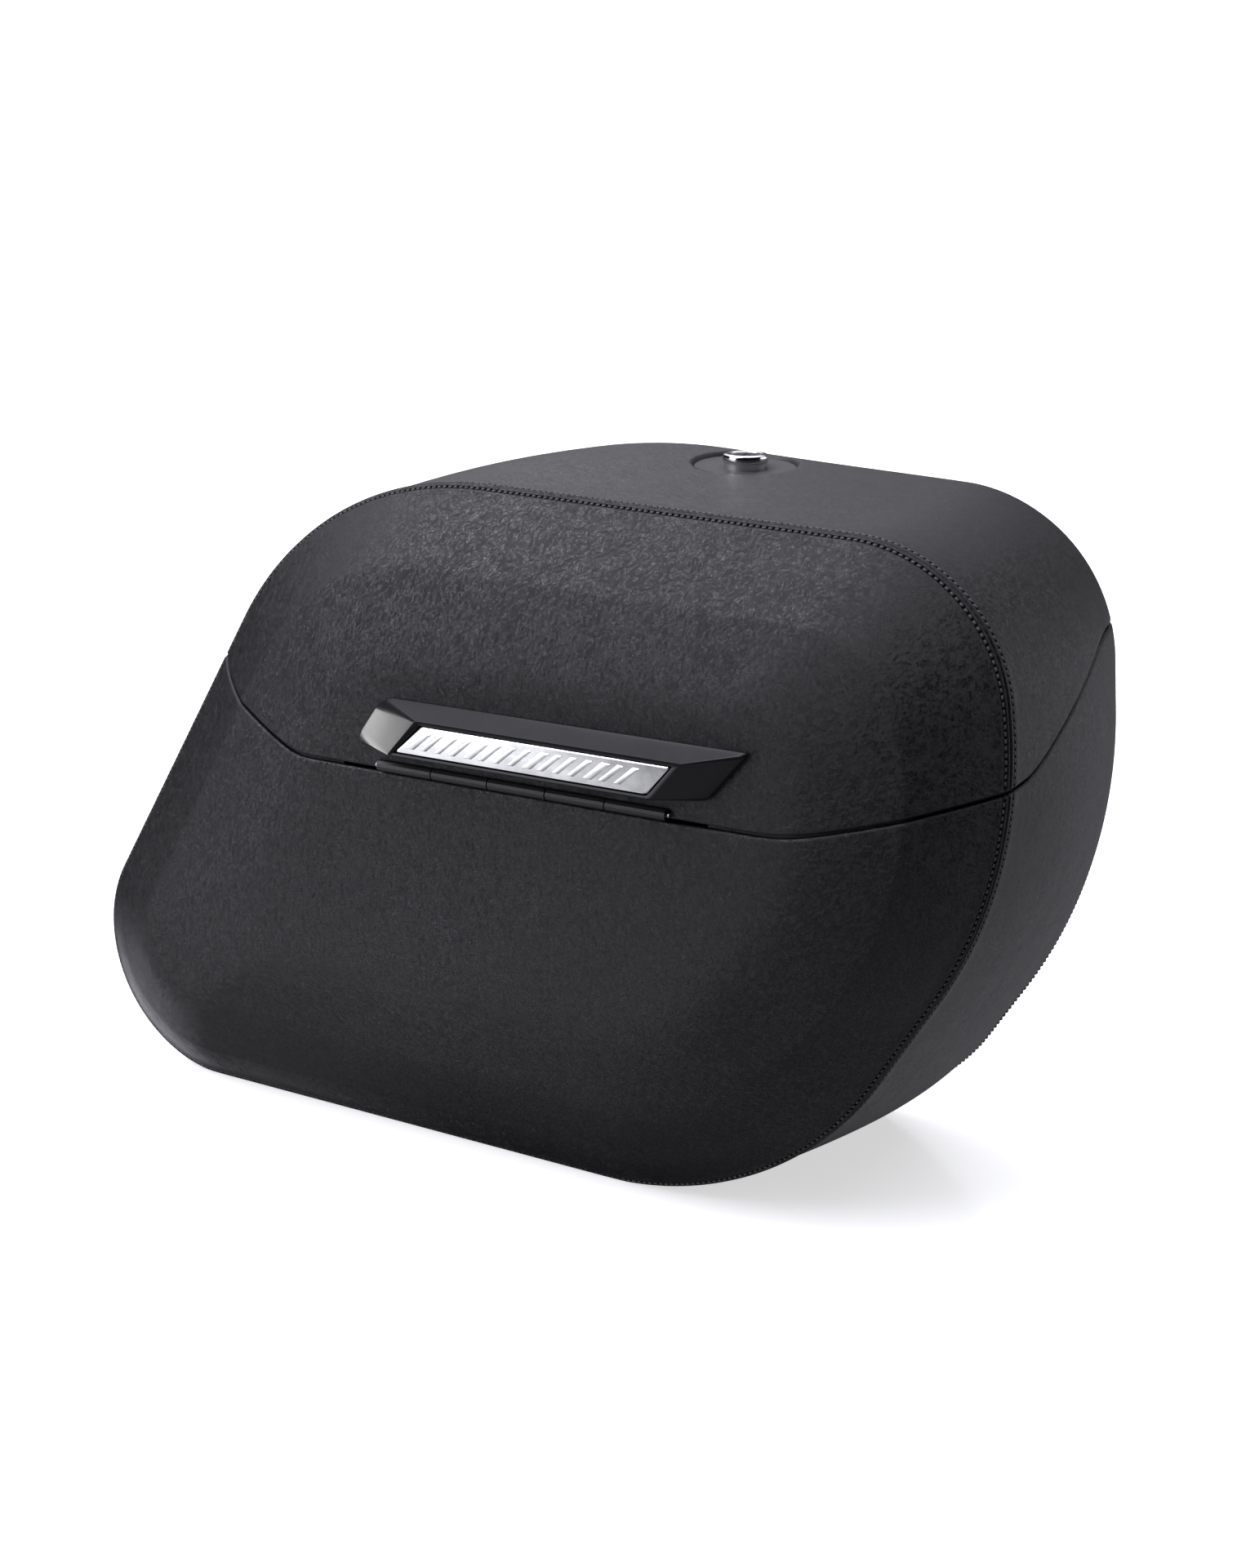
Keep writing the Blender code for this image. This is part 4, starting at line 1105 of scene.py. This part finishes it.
def make_badge():
    back = -PANEL_DEPTH - 0.25
    flat = (1.4, 1.4, 1.0, 1.0)
    base = soft_corners([(187, 199), (358, 199), (376, 221), (203, 221)], (9, 3, 3, 7))
    shoulder = soft_corners([(189, 199.1), (357, 199.1), (374, 220), (204, 220)], (8, 3, 3, 6))
    front = [(213, 199.6), (339, 199.6), (353, 216.5), (228, 216.5)]
    front = soft_corners(front, (1.6, 1.6, 1.2, 1.2))
    lip = soft_corners([(216, 201), (337.2, 201), (348.6, 214.8), (230, 214.8)], flat)
    well = soft_corners([(216.3, 201.2), (337, 201.2), (348.2, 214.6), (230.2, 214.6)], flat)
    outlines = [
        (base, back), (base, back - 1.2), (shoulder, back - 2.6),
        (front, -57.0), (lip, -56.8), (well, -54.6),
    ]
    bezel = polygon_block("badge_frame", outlines, "lid", GLOSS, ("badge_bezel",), 0.5)
    light_only(bezel, (-1.1, -0.21, 0.02), (0.5, 0.7), 9.0)
    edge = [(217.0, 201.5), (336.7, 201.5), (347.5, 214.3), (230.7, 214.3)]
    edge = soft_corners(edge, (1.8, 1.8, 1.4, 1.4))
    face = [(217.7, 201.9), (336.3, 201.9), (346.7, 213.9), (231.2, 213.9)]
    face = soft_corners(face, (1.6, 1.6, 1.2, 1.2))
    outlines = [(edge, -54.8), (edge, -56.3), (face, -56.8)]
    plate = polygon_block("badge_plate", outlines, "lid", SILVER, ("badge_insert",), 0.15, 2)
    ribs = bmesh.new()
    low, high = 203.9, 211.9
    lean = (231.2 - 217.7) / (213.9 - 201.9)
    for k in range(15):
        x = 222.5 + k * 7.1
        wide = 3.4 if k % 4 else 4.6
        shift = lean * (high - low)
        spots = [(x, low), (x + wide, low), (x + wide + shift, high), (x + shift, high)]
        bottom = [ribs.verts.new(at(a, -56.7, b)) for a, b in spots]
        inset = [(0.5, 0.45), (-0.4, 0.45), (-0.5, -0.45), (0.4, -0.45)]
        top = [ribs.verts.new(at(a + p, -57.45, b + q)) for (a, b), (p, q) in zip(spots, inset)]
        for j in range(4):
            m = (j + 1) % 4
            ribs.faces.new((bottom[j], bottom[m], top[m], top[j]))
        ribs.faces.new(top)
        ribs.faces.new(list(reversed(bottom)))
    bmesh.ops.recalc_face_normals(ribs, faces=ribs.faces)
    pattern = finish_object("badge_ribs", ribs, "lid", SILVER, (), smooth=True)
    soften = pattern.modifiers.new("edges", "BEVEL")
    soften.width = 0.18 * MM
    soften.segments = 2
    for obj in (plate, pattern):
        light_only(obj, (-0.5, -0.95, -0.09), (0.6, 0.5), 0.65)


def light_only(obj, place, size, power):
    """A soft light that shines on this piece alone."""
    group = bpy.data.collections.new(f"{obj.name}_light")
    group.objects.link(obj)
    strip = area_light(f"{obj.name}_strip", place, (0.0, -0.085, 0.21), size, power)
    strip.light_linking.receiver_collection = group


# ---------------------------------------------------------------- lid stays and mat
STAY_REACH = 94.0
CABLE_RADIUS = 1.6
STAY_HALF_ANGLE = math.radians(25)
LID_RANGE = math.radians(JOINTS["lid_hinge"]["range_deg"][1])


def stay_points(side, name):
    """The limp cable's line between its two eyes, straight when the lid is fully open."""
    half_gap = STAY_REACH * math.sin(STAY_HALF_ANGLE)
    open_level = STAY_REACH * math.cos(STAY_HALF_ANGLE + LID_RANGE / 2)
    ends = []
    for body in ("case", "lid"):
        low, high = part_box(f"stay_eye_{body}_{name}")
        ends.append(((low.x + high.x) / 2 / MM) + MIDDLE_X)
    points = []
    for i in range(41):
        t = i / 40
        turn = (t * t * (3 - 2 * t) - 0.5) * LID_RANGE
        rise = (2 * t - 1) * half_gap
        out = (open_level + rise * math.sin(turn)) / math.cos(turn)
        bow = side * 14.0 * math.sin(math.pi * t) ** 2
        points.append((ends[0] + (ends[1] - ends[0]) * t - bow, HINGE_Y + out, HINGE_Z + rise))
    return points


def tube_mesh(name, points, radius, finish, sides=12):
    bm = bmesh.new()
    path = [at(*p) for p in points]
    rings = []
    side = None
    for i, spot in enumerate(path):
        run = (path[min(i + 1, len(path) - 1)] - path[max(i - 1, 0)]).normalized()
        side = run.orthogonal().normalized() if side is None else (side - run * side.dot(run)).normalized()
        other = run.cross(side)
        turned = []
        for k in range(sides):
            angle = 2 * math.pi * k / sides
            around = side * math.cos(angle) + other * math.sin(angle)
            turned.append(bm.verts.new(spot + around * radius * MM))
        rings.append(turned)
    loft(bm, rings)
    return finish_object(name, bm, None, finish)


def make_stays():
    for side, name in ((-1, "left"), (1, "right")):
        points = stay_points(side, name)
        shown = points[3:-3]
        cable = tube_mesh(f"lid_cable_{name}", shown, CABLE_RADIUS, CABLE)
        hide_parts(f"lid_stay_{name}")
        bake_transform(cable)


def make_mat():
    """A needle-felt mat on the case's floor, slightly uneven, with soft edges."""
    low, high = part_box("floor_mat")
    bm = bmesh.new()
    across, along = 64, 38
    half = (high - low) / 2
    middle = (high + low) / 2
    corner = 0.015

    def spot(u, v, shrink):
        x, y = u * (half.x - shrink), v * (half.y - shrink)
        over_x, over_y = abs(x) - (half.x - shrink - corner), abs(y) - (half.y - shrink - corner)
        if over_x > 0 and over_y > 0:
            length = math.hypot(over_x, over_y)
            if length > 1e-9:
                scale = max(over_x, over_y) / length
                x = math.copysign(half.x - shrink - corner + over_x * scale, x)
                y = math.copysign(half.y - shrink - corner + over_y * scale, y)
        return x, y

    def sheet_points(height, shrink, wave):
        rows = []
        for j in range(along + 1):
            row = []
            for i in range(across + 1):
                x, y = spot(2 * i / across - 1, 2 * j / along - 1, shrink)
                lift = wave * math.sin(x * 70 + 2 * math.sin(y * 50)) * math.cos(y * 60)
                row.append(bm.verts.new((middle.x + x, middle.y + y, height + lift)))
            rows.append(row)
        return rows

    bottom = sheet_points(low.z, 0.0008, 0.0)
    mid = sheet_points(low.z + 0.0012, 0.0, 0.0)
    top = sheet_points(high.z - 0.0002, 0.0009, 0.00015)
    for rows, flip in ((bottom, True), (top, False)):
        for j in range(along):
            for i in range(across):
                quad = [rows[j][i], rows[j][i + 1], rows[j + 1][i + 1], rows[j + 1][i]]
                bm.faces.new(list(reversed(quad)) if flip else quad)

    def border(rows):
        return (
            rows[0][:-1] + [row[-1] for row in rows[:-1]] + rows[-1][:0:-1] + [row[0] for row in rows[:0:-1]]
        )

    loops = [border(bottom), border(mid), border(top)]
    inner = set(v for row in mid for v in row) - set(loops[1])
    bmesh.ops.delete(bm, geom=list(inner), context="VERTS")
    for first, second in zip(loops, loops[1:]):
        for k in range(len(first)):
            m = (k + 1) % len(first)
            bm.faces.new((first[k], first[m], second[m], second[k]))
    bmesh.ops.recalc_face_normals(bm, faces=bm.faces)
    mat = finish_object("felt_mat", bm, "case", FELT, ("floor_mat",))


# ---------------------------------------------------------------- carried-over CAD nodes
def dress_nodes():
    finishes = {
        "hinge_leaf_case": POWDER, "hinge_leaf_lid": POWDER, "badge_bezel": GLOSS, "badge_insert": SILVER,
        "lock_housing": CHROME, "lock_plug": CHROME, "rim_gasket": FOAM, "floor_mat": FELT,
        "case_shell": LINER, "lid_shell": LINER, "lid_stay_left": CABLE, "lid_stay_right": CABLE,
    }
    for name, node in frame["nodes"].items():
        if name.endswith("_cover") or name == "lock_cup":
            finish = PLAIN_LEATHER
        elif name.startswith("mount_pad"):
            finish = RUBBER
        else:
            finish = finishes.get(name, ZINC)
        for material_slot in node.material_slots:
            material_slot.material = finish


# ---------------------------------------------------------------- studio
FLOOR_SIZE = 6.0
BACKDROP_RADIUS = 5.6
BACKDROP_SIDES = 48


def stage_surface(name, spots, faces, n):
    """A studio surface that is seen, but neither lights nor shades the bag."""
    mesh = bpy.data.meshes.new(name)
    mesh.from_pydata(spots, [], faces)
    mesh.materials.append(n.material)
    obj = bpy.data.objects.new(name, mesh)
    bpy.context.scene.collection.objects.link(obj)
    obj.visible_diffuse = False
    obj.visible_glossy = False
    obj.visible_shadow = False
    return obj


def make_floor():
    """A white floor that brightens to the backdrop's white away from the bag."""
    n = Nodes("floor", (0.82, 0.82, 0.83), 0.2)
    reach = n.add("ShaderNodeVectorMath", {0: n.place()}, operation="LENGTH").outputs["Value"]
    n.set(Roughness=n.span(n.noise(6.0, 2.0), 0.3, 0.7, 0.17, 0.23))
    n.set(Emission_Color=(1.0, 1.0, 1.0, 1.0), Emission_Strength=n.span(reach, 0.3, 1.3, 0.6, 0.95))
    corners = [(x * FLOOR_SIZE, y * FLOOR_SIZE, 0) for x, y in ((-1, -1), (1, -1), (1, 1), (-1, 1))]
    floor = stage_surface("floor", corners, [(0, 1, 2, 3)], n)
    floor.location.z = -0.0003


def make_wall():
    """A white wall all round."""
    n = Nodes("backdrop", (0.8, 0.8, 0.8), 1.0)
    n.set(Emission_Color=(1.0, 1.0, 1.0, 1.0), Emission_Strength=1.0)
    count = BACKDROP_SIDES
    angles = [2 * math.pi * k / count for k in range(count)]
    circle = [(BACKDROP_RADIUS * math.cos(a), BACKDROP_RADIUS * math.sin(a)) for a in angles]
    spots = [(x, y, z) for z in (-1, 8) for x, y in circle]
    sides = [(k, (k + 1) % count, (k + 1) % count + count, k + count) for k in range(count)]
    wall = stage_surface("backdrop", spots, sides, n)


def area_light(name, place, target, size, power, colour=(1.0, 1.0, 1.0)):
    light = bpy.data.lights.new(name, "AREA")
    light.shape = "RECTANGLE"
    light.size, light.size_y = size
    light.energy = power
    light.color = colour
    obj = bpy.data.objects.new(name, light)
    obj.location = place
    aim = Vector(target) - Vector(place)
    obj.rotation_euler = aim.to_track_quat("-Z", "Y").to_euler()
    bpy.context.scene.collection.objects.link(obj)
    return obj


# Direction, cosines where the lobe starts and is full, brightness. All but the last row began
# as the rounded output of a separate fit to the picture's brightness; some were then adjusted.
BACKDROP_LOBES = [
    ((-0.59, 0.67, 0.45), 0.92, 0.987, 1.0),
    ((0.5, 0.68, -0.54), 0.71, 0.92, 0.5),
    ((-0.72, 0.46, -0.53), 0.97, 0.995, 3.2),
    ((-0.73, -0.41, -0.55), 0.9, 0.99, 1.6),
    ((0.2, -0.52, -0.83), 0.75, 0.97, 0.6),
    ((-0.67, -0.73, 0.11), 0.925, 0.985, 5.2),
    ((-0.46, -0.38, 0.81), 0.86, 0.995, 8.0),
    ((-0.13, 0.25, 0.96), 0.61, 0.85, 1.8),
    ((0.75, 0.65, 0.14), 0.88, 0.96, 1.4),
    ((-0.1, 0.98, 0.15), 0.8, 0.97, 0.12),
]
BACKDROP_DARK = 0.005


def make_backdrop():
    """Dark surroundings with the soft lights of BACKDROP_LOBES."""
    world = bpy.data.worlds.new("studio")
    world.use_nodes = True
    tree = world.node_tree
    place = tree.nodes.new("ShaderNodeTexCoord").outputs["Generated"]
    total = None
    for direction, start, full, brightness in BACKDROP_LOBES:
        toward = tree.nodes.new("ShaderNodeVectorMath")
        toward.operation = "DOT_PRODUCT"
        tree.links.new(place, toward.inputs[0])
        toward.inputs[1].default_value = Vector(direction).normalized()
        lobe = tree.nodes.new("ShaderNodeMapRange")
        lobe.interpolation_type = "SMOOTHSTEP"
        tree.links.new(toward.outputs["Value"], lobe.inputs["Value"])
        lobe.inputs["From Min"].default_value = start
        lobe.inputs["From Max"].default_value = full
        lobe.inputs["To Max"].default_value = brightness
        add = tree.nodes.new("ShaderNodeMath")
        tree.links.new(lobe.outputs[0], add.inputs[0])
        if total is None:
            add.inputs[1].default_value = BACKDROP_DARK
        else:
            tree.links.new(total, add.inputs[1])
        total = add.outputs[0]
    background = tree.nodes["Background"]
    background.inputs["Color"].default_value = (0.92, 0.92, 1.0, 1.0)
    tree.links.new(total, background.inputs["Strength"])
    bpy.context.scene.world = world


def make_studio():
    make_backdrop()
    bpy.context.scene.view_settings.view_transform = "Standard"


# These come from a separate fit of the camera to the bag's outline.
CAMERA_LENS = 50.6
CAMERA_PLACE = (737.4, -771.9, 456.6)
CAMERA_AIM = (291.8, 0.0, 184.1)


def make_camera():
    camera = bpy.data.cameras.new("camera")
    camera.sensor_width = 36.0
    camera.lens = CAMERA_LENS
    obj = bpy.data.objects.new("camera", camera)
    obj.location = at(*CAMERA_PLACE)
    aim = at(*CAMERA_AIM) - obj.location
    obj.rotation_euler = aim.to_track_quat("-Z", "Y").to_euler()
    bpy.context.scene.collection.objects.link(obj)
    bpy.context.scene.camera = obj


# ---------------------------------------------------------------- everything together
make_camera()
make_studio()
make_floor()
make_wall()
dress_nodes()
make_skins()
for body in ("case", "lid"):
    make_liner(body)
make_gasket()
make_lock()
make_mount_hardware()
make_badge()
make_stays()
make_mat()
